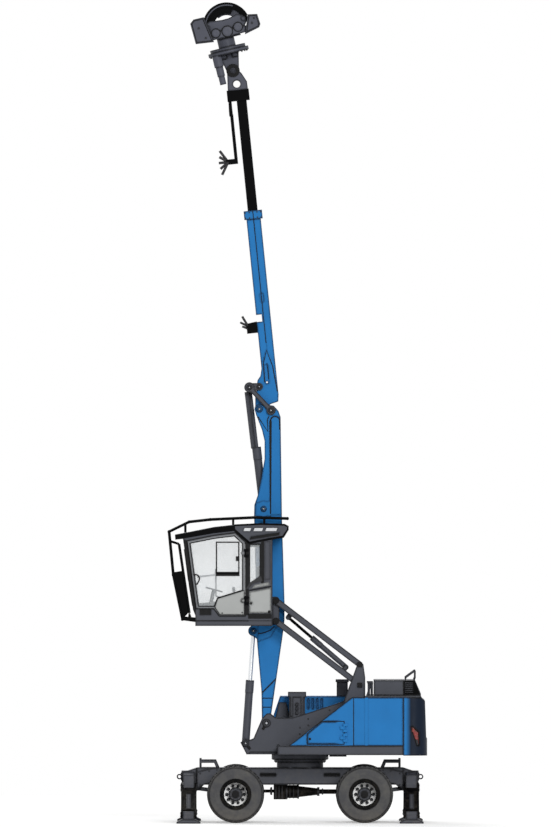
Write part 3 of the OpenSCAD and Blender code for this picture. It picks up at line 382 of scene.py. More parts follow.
class Look:
    """One material's nodes."""

    def __init__(self, name):
        self.material = bpy.data.materials.new(name)
        self.material.use_nodes = True
        self.tree = self.material.node_tree
        self.surface = self.tree.nodes["Principled BSDF"]
        self.place = self.add("ShaderNodeTexCoord").outputs["Object"]

    def add(self, kind, inputs=(), **settings):
        made = self.tree.nodes.new(kind)
        for name, value in settings.items():
            setattr(made, name, value)
        self.set(made, inputs)
        return made

    def set(self, node, inputs):
        """Links or sets the inputs of a node."""
        for name, value in dict(inputs).items():
            if isinstance(value, bpy.types.NodeSocket):
                self.tree.links.new(value, node.inputs[name])
            else:
                node.inputs[name].default_value = value

    def axis(self, name):
        return self.add("ShaderNodeSeparateXYZ", {"Vector": self.place}).outputs[name]

    def noise(self, scale, detail=4.0, rough=0.55, place=None):
        made = self.add("ShaderNodeTexNoise", {"Vector": place or self.place, "Scale": scale,
                                               "Detail": detail, "Roughness": rough})
        return made.outputs["Fac"]

    def steps(self, value, low, high, to_low=0.0, to_high=1.0):
        made = self.add("ShaderNodeMapRange", {"Value": value, "From Min": low, "From Max": high,
                                               "To Min": to_low, "To Max": to_high})
        return made.outputs["Result"]

    def sums(self, kind, a, b):
        return self.add("ShaderNodeMath", {0: a, 1: b}, operation=kind).outputs["Value"]

    def mix(self, share, a, b):
        return self.add("ShaderNodeMix", {0: share, 6: a, 7: b}, data_type="RGBA").outputs[2]

    def vectors(self, kind, a, b):
        return self.add("ShaderNodeVectorMath", {0: a, 1: b}, operation=kind).outputs["Value"]

    def edges(self, radius, reach):
        """The share of a point that lies within reach of an edge, and the normal with its edges rounded."""
        rounded = self.add("ShaderNodeBevel", {"Radius": radius}, samples=4).outputs["Normal"]
        wide = self.add("ShaderNodeBevel", {"Radius": reach}, samples=8).outputs["Normal"]
        flat = self.add("ShaderNodeNewGeometry").outputs["Normal"]
        return self.steps(self.vectors("DOT_PRODUCT", wide, flat), 0.99, 0.93), rounded

    def bump(self, height, strength, distance, normal=None):
        inputs = {"Height": height, "Strength": strength, "Distance": distance}
        if normal is not None:
            inputs["Normal"] = normal
        self.set(self.surface, {"Normal": self.add("ShaderNodeBump", inputs).outputs["Normal"]})

    def finish(self, colour, rough, metal=0.0, specular=0.4, coat=0.0):
        self.set(self.surface, {"Base Color": colour, "Roughness": rough, "Metallic": metal,
                                "Specular IOR Level": specular, "Coat Weight": coat,
                                "Coat Roughness": 0.12})
        return self.material


black_line = linear(9, 10, 12)
no_light = linear(0, 0, 0)
dust_colour = linear(122, 114, 102)
paint_rough = 0.42


def paint(name, colour, edge_share=0.85, specular=0.12, shaded_back_colour=None, clouds=0.1, dust=0.22,
          calm=None):
    """Sprayed paint: faint clouds, dark edges that are painted shade in creases, fine orange peel, and dust
    that fades with height.

    Around the point calm, where small parts lie close together, the edges stay plain."""
    look = Look(name)
    # Painted shade: from x 2.005 to 2.1 the colour turns to the given darker back colour.
    if shaded_back_colour is not None:
        colour = look.mix(look.steps(look.axis("X"), 2.005, 2.1), colour, shaded_back_colour)
    deep = look.mix(clouds, colour, no_light)
    base = look.mix(look.steps(look.noise(1.7), 0.35, 0.7), deep, colour)
    low = look.steps(look.axis("Z"), 1.5, 0.0, 0.0, dust)
    grime = look.steps(look.noise(9.0, 6.0, 0.65), 0.42, 0.72)
    base = look.mix(look.sums("MULTIPLY", low, grime), base, dust_colour)
    # Dark lines along the edges, broken by noise; where an edge is a crease they are painted shade.
    edge, rounded = look.edges(0.008, 0.06)
    broken = look.steps(look.noise(14.0, 3.0), 0.3, 0.55, 0.8, 1.0)
    edge_lines_and_crease_shade = look.sums("MULTIPLY", look.sums("MULTIPLY", edge, broken), edge_share)
    if calm is not None:
        away = look.vectors("DISTANCE", look.place, calm)
        edge_lines_and_crease_shade = look.sums("MULTIPLY", edge_lines_and_crease_shade, look.steps(away, 0.24, 0.28))
    base = look.mix(edge_lines_and_crease_shade, base, black_line)
    rough = look.steps(look.noise(5.0, 5.0), 0.3, 0.7, paint_rough - 0.06, paint_rough + 0.12)
    look.bump(look.noise(260.0, 2.0), 0.06, 0.002, rounded)
    return look.finish(base, rough, specular=specular)


def plain(name, colour, rough, metal=0.0, specular=0.4, grain=120.0, depth=0.05):
    """A moulded or bare surface: faint colour spread, uneven gloss and fine grain."""
    look = Look(name)
    shade = look.mix(0.12, colour, no_light)
    base = look.mix(look.steps(look.noise(22.0, 5.0), 0.35, 0.7), shade, colour)
    uneven = look.steps(look.noise(40.0, 4.0), 0.3, 0.7, max(rough - 0.07, 0.03), rough + 0.1)
    look.bump(look.noise(grain, 3.0), depth, 0.003)
    return look.finish(base, uneven, metal=metal, specular=specular)


def rubber():
    """Tyre rubber: matt and grained, dusty near the ground, and dark at its edges, which is painted shade
    in its creases.
    """
    look = Look("tyre_rubber")
    base = look.mix(look.steps(look.noise(6.0, 6.0), 0.4, 0.7), linear(70, 70, 72), linear(84, 83, 81))
    low = look.steps(look.axis("Z"), 0.35, 0.0, 0.0, 0.45)
    dusty = look.sums("MULTIPLY", low, look.noise(12.0, 6.0))
    base = look.mix(dusty, base, dust_colour)
    edge, rounded = look.edges(0.009, 0.03)
    # Dark edges: painted shade where an edge is a crease.
    base = look.mix(look.sums("MULTIPLY", edge, 0.85), base, black_line)
    look.bump(look.noise(180.0, 4.0), 0.15, 0.003, rounded)
    return look.finish(base, look.steps(look.noise(25.0), 0.3, 0.7, 0.7, 0.9), specular=0.2)


def chrome():
    """A hard-chromed rod with faint lines along it and an oily film."""
    look = Look("chrome_rod")
    stretched = look.add("ShaderNodeMapping", {"Vector": look.place, "Scale": (90.0, 90.0, 3.0)})
    film = look.noise(1.0, 4.0, place=stretched.outputs["Vector"])
    base = look.mix(look.steps(film, 0.3, 0.7), linear(214, 217, 221), linear(236, 238, 240))
    look.bump(film, 0.03, 0.001)
    return look.finish(base, look.steps(film, 0.3, 0.7, 0.16, 0.28), metal=0.85)


def pane(name, colour, clear):
    """Thin safety glass with a light, uneven film of dust."""
    look = Look(name)
    film = look.steps(look.noise(7.0, 6.0, 0.6), 0.35, 0.75, 0.0, 0.04)
    look.set(look.surface, {"Alpha": look.sums("ADD", film, 1.0 - clear)})
    base = look.mix(look.steps(look.noise(3.0), 0.3, 0.7), colour, linear(230, 234, 236))
    rough = look.steps(film, 0.0, 0.04, 0.05, 0.16)
    look.bump(look.noise(2.0), 0.01, 0.002)
    return look.finish(base, rough, specular=0.5)


def cloth():
    """Woven seat cover: crossed threads and soft shading."""
    look = Look("seat_cloth")
    waves = []
    for turn in ((1.0, 0.0, 0.35), (0.0, 1.0, 0.35)):
        wave = look.sums("MULTIPLY", look.vectors("DOT_PRODUCT", look.place, turn), 900.0)
        waves.append(look.sums("SINE", wave, 0.0))
    weave = look.sums("MULTIPLY", *waves)
    base = look.mix(look.steps(weave, -1.0, 1.0), linear(96, 98, 102), linear(132, 134, 138))
    base = look.mix(look.steps(look.noise(8.0), 0.35, 0.7, 0.0, 0.3), base, linear(74, 76, 80))
    look.bump(weave, 0.3, 0.002)
    look.set(look.surface, {"Sheen Weight": 0.3})
    return look.finish(base, look.steps(look.noise(60.0), 0.3, 0.7, 0.75, 0.95), specular=0.2)


def lens(name, colour):
    """Moulded lamp lens with fine upright ribs."""
    look = Look(name)
    ribs = look.sums("SINE", look.sums("MULTIPLY", look.axis("X"), 700.0), 0.0)
    deep = look.mix(0.45, colour, linear(30, 0, 0))
    base = look.mix(look.steps(ribs, -1.0, 1.0), deep, colour)
    look.bump(ribs, 0.25, 0.002)
    return look.finish(base, look.steps(look.noise(30.0), 0.3, 0.7, 0.12, 0.25), specular=0.5, coat=0.5)


body_blue = linear(31, 113, 178)
blue = paint("blue_paint", body_blue)
blue_soft = paint("blue_panel", body_blue, edge_share=0.0)
blue_hinged = paint("hinge_side_paint", body_blue, calm=(0.87, -1.25, 1.72))
# Painted shade: the counterweight's blue darkens to a near-black navy towards its rounded back.
blue_shaded_back = paint("counterweight_shaded_paint", body_blue, shaded_back_colour=linear(12, 24, 40))
grey = paint("grey_paint", linear(73, 75, 82))
dark = paint("black_paint", linear(6, 6, 7), edge_share=0.5, specular=0.03)
head_grey = paint("head_paint", linear(80, 82, 92))
head_soft = paint("head_cap_paint", linear(84, 86, 96), edge_share=0.2)
white = paint("white_paint", linear(255, 255, 254), edge_share=0.0, clouds=0.01, dust=0.0)
pale = paint("pale_paint", linear(163, 165, 164))
frame_grey = paint("door_frame_paint", linear(132, 134, 138), edge_share=0.5)
tyre_rubber = rubber()
rod_chrome = chrome()
clear_glass = pane("cab_glass", linear(222, 228, 231), 0.8)
seat_cloth = cloth()
# Black rubber for seals, welds and small parts, also used as painted shade in slots, recesses and the
# wheels' rims.
seal_and_shade = plain("seal_rubber_and_shade", linear(14, 14, 15), 0.7, specular=0.2, grain=200.0, depth=0.1)
plastic = plain("dark_plastic", linear(34, 34, 37), 0.55, specular=0.3, grain=300.0, depth=0.12)
steel = plain("bolt_steel", linear(40, 41, 44), 0.45, metal=0.6, grain=150.0)
bright = plain("pin_steel", linear(150, 152, 156), 0.35, metal=0.8, grain=90.0)
wire = plain("wire_steel", linear(30, 30, 33), 0.5, metal=0.5, grain=200.0)
inner_grey = plain("inner_trim", linear(150, 152, 154), 0.6, specular=0.3, grain=180.0)
red_lens = lens("red_lens", linear(150, 26, 16))
amber_lens = lens("amber_lens", linear(226, 118, 26))
light_lens = plain("light_lens", linear(208, 210, 213), 0.3)

by_slot = {
    "grey_paint": grey, "blue_paint": blue, "black_paint": dark, "white_paint": white, "pale_paint": pale,
    "seat_trim": seat_cloth, "tyre": tyre_rubber, "chrome": rod_chrome, "glass": clear_glass,
    "lamp_lens": red_lens,
}
by_node = {"counterweight": blue_shaded_back, "tilt_frame": head_grey, "grapple_frame": head_grey,
           "cab_door": frame_grey, "left_body": blue_hinged, "service_door": blue_hinged,
           "lift_rod": dark}
for corner in corners:
    by_node["arm_" + corner] = dark
for row in frame["record"]["subparts"]:
    mesh = nodes[row["node"]].data
    mesh.materials.clear()
    mesh.materials.append(by_node.get(row["node"], by_slot[row["material_slot"]]))


def paint_rim(corner):
    """Leaves the disc of a wheel white, paints shade on its barrel in black, and gives its lugs, hub and
    cap their own colours.
    """
    mesh = nodes["rim_" + corner].data
    for extra in (dark, grey, seal_and_shade):
        mesh.materials.append(extra)
    middle = corner_signs(corner)[0] * axle_x
    for face in mesh.polygons:
        x, y, z = face.center
        r = math.hypot(x - middle, z - tyre_r)
        if abs(abs(y) - disc_y - disc_t) < 0.002 and abs(face.normal.y) > 0.9:
            face.material_index = 0
        # Painted shade: the deep barrel outside barrel_r is painted black.
        elif r > barrel_r:
            face.material_index = 1
        elif cap_r + 0.004 < r <= lug_ring_r:
            face.material_index = 2
        else:
            face.material_index = 3


# Tests of the CAD's faces: what stands out of the door's plane, the area in square metres of the
# hinges' small faces, where the fork starts along the stick, and the reach of a lamp's lens
door_face = -cab_out - 0.002
hinge_area = 0.02
yoke_start = 6.1
lens_reach = 0.045


def repaint(name, material, chosen):
    """Gives another material to the faces of a CAD node that a test picks."""
    mesh = nodes[name].data
    mesh.materials.append(material)
    last = len(mesh.materials) - 1
    for face in mesh.polygons:
        if chosen(face):
            face.material_index = last


def on_door_panel(face):
    """The raised lower panel of the cab door."""
    x, y, z = face.center
    return y < door_face and x < -1.063 and z < 4.42


def on_yoke(face):
    """The fork at the telescope's end."""
    x = face.center.x - stick_pin[0]
    z = face.center.z - stick_pin[1]
    return z * math.cos(stick_lean) - x * math.sin(stick_lean) > yoke_start


def on_service_hinge(face):
    """The small parts of the service door's hinges."""
    x, y, z = face.center
    return 0.8 < x < 0.93 and 1.45 < z < 2.0 and face.area < hinge_area


def on_cab_hinge(face):
    """The knuckles and straps of the cab door's hinges, which stand on the black post."""
    x, y, z = face.center
    level = 4.1 < z < 4.36 or 4.99 < z < 5.25
    return level and -1.062 < x < -0.97 and y < door_face and face.area < hinge_area


def on_lamp_housing(face):
    """What lies round the red lenses of the rear lamps."""
    spot = Vector((face.center.x, face.center.z))
    near = min((spot - Vector(middle)).length for middle in lamp_lenses)
    return near >= lens_reach or abs(face.normal.y) <= 0.5


repaint("cab_door", pale, on_door_panel)
for name in ("cab_door", "cab_shell"):
    repaint(name, dark, on_cab_hinge)
repaint("rear_lamps", plastic, on_lamp_housing)
repaint("telescope", head_grey, on_yoke)
for name in ("service_door", "left_body"):
    repaint(name, blue_soft, on_service_hinge)


# Wheels


def tyre_profile():
    """The tyre's section as radius and distance from its middle, with ribs on the sidewalls."""
    half = tyre_w / 2
    one_side = [
        (bead_r, half - 0.03), (flange_r, half - 0.03), (flange_r + 0.006, half * 0.93),
        (flange_r + 0.04, half * 0.975), (flange_r + 0.085, half), (flange_r + 0.092, half + 0.0015),
        (flange_r + 0.1, half), (flange_r + 0.16, half * 0.975), (0.488, half * 0.93),
        (0.491, half * 0.95), (0.497, half * 0.93), (0.52, half * 0.84), (tyre_r - 0.016, half * 0.72),
    ]
    other_side = [(r, -h) for r, h in reversed(one_side)]
    return one_side + other_side


def tread(form, centre, way):
    """Two rows of slanted blocks round a tyre."""
    blocks = 34
    low = tyre_r - 0.018
    half = tyre_w / 2
    across_steps = ((0.012, 0.0), (half * 0.62, 0.45), (half * 0.8, 0.6))
    drops = (0.0, 0.0, 0.02)
    for k in range(blocks):
        for side in ways:
            rings = []
            for (h, slant), drop in zip(across_steps, drops):
                middle = (k + (0.5 if side > 0 else 0.0) + slant) / blocks
                ring = []
                for share, top in ((-0.3, 0), (0.3, 0), (0.26, 1), (-0.26, 1)):
                    angle = 2 * math.pi * (middle + share / blocks)
                    r = (tyre_r - drop - 0.001) if top else low - drop
                    ring.append((centre[0] + r * math.cos(angle), centre[1] + way * side * h,
                                 centre[2] + r * math.sin(angle)))
                rings.append(ring)
            form.loft(rings, closed=False)


def wheel(corner):
    sx, way = corner_signs(corner)
    middle = sx * axle_x
    body = "wheel_" + corner
    tyres = Form("tyres_" + corner, tyre_rubber, body, "tyre", ["tyre_" + corner], smooth=30)
    for y in twin_middles:
        centre = (middle, way * y, tyre_r)
        tyres.lathe(tyre_profile(), centre, (0, way, 0), 88)
        tread(tyres, centre, way)
    # Painted shade: a black ring in the barrel round the disc, a black line on the outer tyre's shoulder
    # and a black ring round the hub.
    ring = Form("rim_shade_" + corner, seal_and_shade, body, bevel=0.001)
    face = disc_y + disc_t
    hub = (middle, way * face, tyre_r)
    ring.lathe([(white_r, 0), (0.237, 0), (0.237, 0.09), (0.232, 0.09)], hub, (0, way, 0), 72)
    half = tyre_w / 2
    shoulder = [(0.499, half * 0.925), (0.51, half * 0.88), (0.512, half * 0.9), (0.501, half * 0.945)]
    ring.lathe(shoulder, (middle, way * twin_middles[1], tyre_r), (0, way, 0), 88)
    ring.washer((middle, way * (face + 0.0005), tyre_r), (0, way, 0), hub_r, hub_r + 0.008, 0.006, 48)
    lugs = Form("wheel_lugs_" + corner, seal_and_shade, body, bevel=0.001)
    nuts = Form("wheel_bolts_" + corner, steel, body, bevel=0.001)
    for x, z in spots(lug_count, lug_r):
        foot, top, tip = [(middle + x, way * (face + h), tyre_r + z) for h in (-0.001, 0.04, 0.047)]
        lugs.rod(foot, top, 0.03, 20, 0.027)
        nuts.rod(top, tip, 0.019, 6, 0.017)
    for x, z in spots(8, 0.1, 0.5):
        nuts.bolt((middle + x, way * (disc_y + 0.12), tyre_r + z), (0, way, 0), 0.009, 0.01)
    paint_rim(corner)


for corner in corners:
    wheel(corner)


# Undercarriage


def chassis_details():
    slot_shade = Form("chassis_slot_shade", seal_and_shade, "undercarriage", bevel=0.002)
    fixings = Form("chassis_bolts", steel, "undercarriage", bevel=0.001)
    seams = Form("chassis_welds", grey, "undercarriage")
    ring_bolt_r = 0.466
    ring_under = 1.15
    web_half = 0.4
    web_end = 1.48
    for spot in spots(28, ring_bolt_r):
        fixings.bolt((*spot, ring_under), (0, 0, -1), 0.013, 0.018)
    for sy in ways:
        for z in (0.735, 1.02):
            seams.rod((-web_end, sy * web_half, z), (web_end, sy * web_half, z), 0.007, 8)
        for sx in ways:
            middle = sx * 0.607
            # Painted shade: thin black sheets at the back of the chassis' slots.
            slot_shade.box((middle - 0.149, sy * 0.341, 0.883), (middle + 0.149, sy * 0.352, 0.929))
            for x, z in ((1.58, 1.0), (1.58, 0.79), (1.73, 0.98), (1.9, 0.93), (1.9, 0.72)):
                fixings.bolt((sx * x, sy * gusset_out, z), (0, sy, 0), 0.014, 0.014)


def outrigger_details(corner):
    sx, sy = corner_signs(corner)
    body = "outrigger_" + corner
    for name, spot, r in (("hinge_caps_", arm_hinge, 0.058), ("foot_caps_", arm_foot, 0.042)):
        caps = Form(name + corner, steel, body, bevel=0.001)
        for x, way in ((1.974, -1), (2.263, 1)):
            out = (sx * way, 0, 0)
            caps.washer((sx * x, sy * spot[0], spot[1]), out, r * 0.8, r + 0.016, 0.01, 32)
            for y, z in spots(4, r, 0.5):
                caps.bolt((sx * (x + way * 0.009), sy * spot[0] + y, spot[1] + z), out, 0.007, 0.008)
    run = Vector(arm_foot) - Vector(arm_hinge)
    along = run.normalized()
    rise = Vector((-along[1], along[0]))
    rings = []
    for share, lift in ((0.36, 0.069), (0.88, 0.058)):
        ring = []
        for x, h in ((-0.052, -0.012), (0.052, -0.012), (0.044, 0.008), (-0.044, 0.008)):
            y, z = Vector(arm_hinge) + run * share + rise * (lift + h)
            ring.append((sx * arm_x + x, sy * y, z))
        rings.append(ring)
    Form("arm_covers_" + corner, grey, body, bevel=0.002).loft(rings, closed=False)
    grip = Form("foot_grips_" + corner, steel, "foot_" + corner)
    for k in range(7):
        y = sy * (arm_foot[0] - 0.19 + 0.0633 * k)
        grip.box((sx * arm_x - 0.2, y - 0.008, 0.0005), (sx * arm_x + 0.2, y + 0.008, 0.006))


def driveline_details():
    """Flanges, ribs and bolts on the gearbox and the shafts under the chassis."""
    shaft_z = 0.58
    flanges = Form("driveline_flanges", plastic, "undercarriage", bevel=0.002)
    bolts = Form("driveline_bolts", steel, "undercarriage")
    for x, r, t in ((-0.268, 0.15, 0.03), (-0.05, 0.138, 0.03), (0.33, 0.085, 0.04), (0.42, 0.06, 0.02),
                    (0.9, 0.07, 0.03), (-0.56, 0.075, 0.03), (-0.95, 0.06, 0.03)):
        z = 0.59 if x < -0.4 else shaft_z
        flanges.rod((x, 0, z), (x + t, 0, z), r, 28)
        for across, up in spots(8, r - 0.02):
            bolts.bolt((x, across, z + up), (-1, 0, 0), 0.009, 0.01)
    for x in (-0.47, -0.41, -0.35):
        flanges.box((x, -0.147, 0.45), (x + 0.02, 0.147, 0.7))
    for x in (-0.2, -0.13):
        flanges.rod((x, 0, shaft_z), (x + 0.016, 0, shaft_z), 0.132, 32)


chassis_details()
driveline_details()
for corner in corners:
    outrigger_details(corner)


# Upper carriage


def upper_details():
    y = -body_half
    door_edge = [(0.143, 1.506), (0.829, 1.506), (0.829, 1.926), (0.419, 1.926), (0.143, 1.697)]
    seams = Form("body_seals", seal_and_shade, "upper")
    seams.band(grown(door_edge, 0.009), 0.014, y, -seam_rise)
    seams.line([(1.017, 1.479), (1.017, 2.375)], 0.016, y, -seam_rise)
    seams.line([(-0.2, 1.469), (1.955, 1.469)], 0.012, y, -seam_rise)
    seams.line([(1.257, 2.387), (0.989, 2.387), (-0.213, 1.467)], 0.012, y, -seam_rise)
    Form("body_joint", blue_soft, "upper").line([(1.2595, 1.476), (1.2595, 2.386)], 0.06, y, -0.003)
    back_edge = [(1.9605, 1.3), (1.9605, 2.38)]
    Form("counterweight_seals", seal_and_shade, "upper").lines(back_edge, 0.016, body_half, seam_rise)
    fixings = Form("upper_bolts", steel, "upper", bevel=0.001)
    low_bolts = [(0.156, 1.966), (-0.002, 1.8), (0.16, 1.844), (-0.006, 1.678)]
    for spot in low_bolts + [(0.564, 2.135), (1.18, 2.72)]:
        fixings.bolt(at(spot, -plate_out), (0, -1, 0), 0.016, 0.009)
    for spot in low_bolts:
        fixings.bolt(at(spot, plate_out), (0, 1, 0), 0.016, 0.016)
    deck_bolt_r = 0.518
    deck_under = 1.198
    for spot in spots(40, deck_bolt_r, 0.5):
        fixings.bolt((*spot, deck_under), (0, 0, -1), 0.009, 0.012)
    for k in range(9):
        for way in ways:
            fixings.bolt((1.45 + 0.06 * k, way * 1.01, 2.421), (0, 0, 1), 0.01, 0.012)
    # The boom's foot pin has a thin plate on the left, where the cab's arms pass
    rows = [(boom_foot, foot_pin_half, 0.07, (0.003, 0.014)),
            (cyl_foot, foot_pin_half, 0.058, (0.014, 0.014))]
    pin_ends("foot_pins", rows, grey, "upper")
    locks = Form("pin_locks", seal_and_shade, "upper", bevel=0.002)
    for x, z in tower_pins:
        locks.box((x - 0.046, -0.752, z - 0.046), (x + 0.046, -0.741, z + 0.046))
    for spot, turn in ((boom_foot, -2.1), (cyl_foot, -0.9)):
        locks.lines([turned(spot, turn, r, 0) for r in (0.07, 0.14)], 0.05, 0.254, 0.02)


def lock_details():
    lock = Form("door_lock", seal_and_shade, "service_door", bevel=0.001)
    y = -body_half
    lock.lathe([(0, -0.002), (0.024, -0.002), (0.024, 0.005), (0.016, 0.008), (0, 0.008)],
               (0.187, y, 1.6), (0, -1, 0), 28)
    lock.box((0.184, y - 0.012, 1.588), (0.19, y, 1.612))


def grille_details():
    back = Form("grille_mesh", seal_and_shade, "hood")
    trim = Form("hood_seals", seal_and_shade, "hood")
    panels = Form("grille_frames", dark, "hood", bevel=0.002)
    for way in ways:
        back.box((1.985, way * 0.962, 2.474), (2.155, way * 0.969, 2.676))
        for outline in (((1.97, 2.44), (2.275, 2.44), (2.27, 2.475), (1.97, 2.475)),
                        ((1.97, 2.672), (2.19, 2.672), (2.178, 2.7), (1.97, 2.7)),
                        ((1.97, 2.475), (1.992, 2.475), (1.992, 2.672), (1.97, 2.672)),
                        ((2.148, 2.475), (2.27, 2.475), (2.19, 2.672), (2.148, 2.672))):
            panels.prism(outline, way * hood_half, way * (hood_half + 0.006))
    rear = [(2.182, 2.46), (2.186, 2.46), (2.186, 2.6), (2.158, 2.676), (2.152, 2.676), (2.18, 2.6)]
    back.prism(rear, -0.9, 0.9)
    trim.lines([(1.96, 2.43), (1.96, 2.705)], 0.014, hood_half, seam_rise)
    trim.lines([(1.41, 2.43), (2.28, 2.43)], 0.012, hood_half, seam_rise)


upper_details()
lock_details()
grille_details()


# Boom, stick and telescope


def boom_details():
    over = boom_half + doubler_t
    bow = arc_line((-0.474, 7.64), 0.087, 180, 0)
    hem = [(-0.8, 3.593), (-0.735, 3.597), (-0.657, 3.617), (-0.56, 3.658), (-0.49, 3.73)]
    welds = Form("boom_welds", seal_and_shade, "boom")
    for points, width, half, rise in (
            ([(-0.712, 2.362), (-0.522, 2.362)], 0.018, over, weld_rise),
            ([(-0.712, 2.19), (-0.545, 2.19)], 0.018, over, weld_rise),
            ([(-0.728, 2.462), (-0.46, 2.73)], 0.024, boom_half, 0.012),
            ([(-0.561, 5.87), (-0.561, 7.64)] + bow + [(-0.385, 7.47)], 0.022, over, weld_rise),
            ([(-0.8, 7.72), (-0.612, 7.44), (-0.622, 7.66), (-0.59, 7.73)], 0.02, boom_half, weld_rise),
            (arc_line((-0.64, 5.86), 0.082, -75, 0), 0.02, boom_half, weld_rise),
            (hem, 0.02, over, weld_rise)):
        welds.lines(points, width, half, rise)
    rows = [(stick_pin, 0.202, 0.056, cap_rises), (cyl_head, 0.196, 0.052, cap_rises),
            (stick_cyl_foot, over, 0.052, cap_rises)]
    pin_ends("boom_pins", rows, blue, "boom")
    rows = [(rocker_pin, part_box("idlers")[1].y, 0.046, cap_rises),
            (idler_pin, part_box("boom")[1].y - 0.002, 0.048, cap_rises)]
    pin_ends("idler_pins", rows, grey, "idlers")


def stick_details():
    cheek_edge = ((0.15, 0.5), (0.16, 0.85), (0.245, 1.1), (0.33, 0.8), (0.375, 0.3))
    seams = Form("stick_welds", seal_and_shade, "stick")
    for points, width, half, rise in (
            (((0.252, 1.24), (0.252, 3.605)), 0.016, stick_half, weld_rise),
            (((0.252, 3.615), (0.252, 3.77)), 0.016, collar_half, seam_rise),
            (cheek_edge, 0.02, cheek_half, seam_rise),
            (((0.23, 0.86), (0.235, 0.55)), 0.014, cheek_half, seam_rise)):
        seams.lines([in_stick(u, v) for u, v in points], width, half, rise)
    fixings = Form("collar_bolts", steel, "stick", bevel=0.001)
    for way in ways:
        for u in (0.1, 0.18, 0.33, 0.4):
            for v in (3.64, 3.74):
                fixings.bolt(at(in_stick(u, v), way * collar_half), (0, way, 0), 0.011, 0.012)
    pin_ends("link_pins", [(link_pin, 0.174, 0.04, cap_rises)], grey, "stick")
    stubs = Form("stick_hose_ends", plastic, "stick", bevel=0.002)
    ends = Form("guide_hose_ends", plastic, "telescope", bevel=0.002)
    for i in range(-2, 3):
        tip = in_stick(-0.15 + 0.008 * abs(i), 1.79 - 0.02 * abs(i))
        stubs.rod(at(in_stick(-0.06, 1.6), i * 0.034), at(tip, i * 0.044), 0.022, 14)
        tip = in_stick(-0.3 + 0.02 * abs(i), 4.74 + 0.115 * i)
        ends.rod(at(in_stick(-0.12, 4.74), i * 0.032), at(tip, i * 0.034), 0.026, 14)
    for v, tip in ((1.6, (-0.2, 1.68)), (1.55, (-0.17, 1.6))):
        for y in (-0.05, 0.05):
            stubs.rod(at(in_stick(-0.07, v), y), at(in_stick(*tip), y), 0.024, 14, 0.02)


boom_details()
stick_details()


# Head


def head_details():
    tilt = Form("tilt_pin_rings", seal_and_shade, "telescope", bevel=0.001)
    centres = Form("tilt_pin_ends", head_grey, "telescope", bevel=0.001)
    for way in ways:
        tilt.washer(at(head_at, way * 0.139), (0, way, 0), 0.056, 0.127, 0.014, 48)
        centres.pin_plate(head_at, way * 0.15, way, 0.05, 0.012)
    plate = Form("slew_plate_bolts", steel, "tilt", bevel=0.001)
    up = Vector((-math.sin(head_lean), 0, math.cos(head_lean)))
    plate_bolt_r = 0.355
    plate_w = 0.333
    for u, y in spots(24, plate_bolt_r):
        plate.bolt(at(in_head(u, plate_w), y), -up, 0.014, 0.02)
    drums = Form("drum_caps", head_soft, "grapple")
    rims = Form("drum_rims", seal_and_shade, "grapple", bevel=0.001)
    for u, w, r in ((0.066, 0.75, 0.095), (0.284, 0.786, 0.08), (-0.156, 0.763, 0.078)):
        spot = in_head(u, w)
        profile = [(0, -0.03), (r, -0.03), (r, 0.004), (r - 0.012, 0.008), (r * 0.3, 0.008), (0, 0.005)]
        for way, face in zip(ways, (0.26, 0.226)):
            drums.lathe(profile, at(spot, way * face), (0, way, 0), 44)
            rims.washer(at(spot, way * (face - 0.03)), (0, way, 0), r - 0.004, r + 0.016, 0.036, 44)
    seams = Form("saw_box_seals", seal_and_shade, "grapple")
    for outline in (((-0.574, 0.65), (-0.226, 0.609), (-0.309, 1.115), (-0.511, 1.115), (-0.589, 1.051)),
                    ((0.381, 0.617), (0.677, 0.686), (0.712, 0.744), (0.696, 0.941), (0.518, 0.975))):
        seams.band([in_head(u, w) for u, w in grown(outline, -0.03)], 0.016, -saw_half, -seam_rise)
    fixings = Form("saw_box_bolts", steel, "grapple", bevel=0.001)
    for u, w in ((-0.45, 0.93), (-0.36, 0.72), (0.56, 0.8), (0.62, 0.88)):
        fixings.bolt(at(in_head(u, w), -saw_half), (0, -1, 0), 0.018, 0.014)


def claw_webs():
    """Inner webs and ribs of the claws, which close the ring round what they hold."""
    jaw = (0.077, 0.847)

    def sector(inner, outer, start, end):
        rim = arc_line(jaw, outer, start, end, 20)
        return [in_head(u, w) for u, w in rim + arc_line(jaw, inner, end, start, 20)]

    left = Form("claw_web_left", dark, "claw_left", bevel=0.002)
    right = Form("claw_web_right", head_soft, "claw_right", bevel=0.002)
    ribs = Form("claw_ribs_left", head_soft, "claw_left", bevel=0.002)
    for way in ways:
        left.strip(sector(0.245, 0.356, 160, 58), way * 0.142, way * 0.162)
        ribs.strip(sector(0.392, 0.416, 158, 60), way * 0.172, way * 0.18)
    right.strip(sector(0.215, 0.356, 20, 122), -0.03, 0.03)


head_details()
claw_webs()


# Lift arms


def lift_details():
    caps = Form("cab_pin_locks", seal_and_shade, "cab", bevel=0.001)
    for x, z in cab_pins:
        caps.box((x - 0.046, -0.698, z - 0.046), (x + 0.046, -0.687, z + 0.046))
        caps.washer((x, -0.686, z), (0, -1, 0), 0.03, 0.066, 0.006, 32)


lift_details()


# Cab


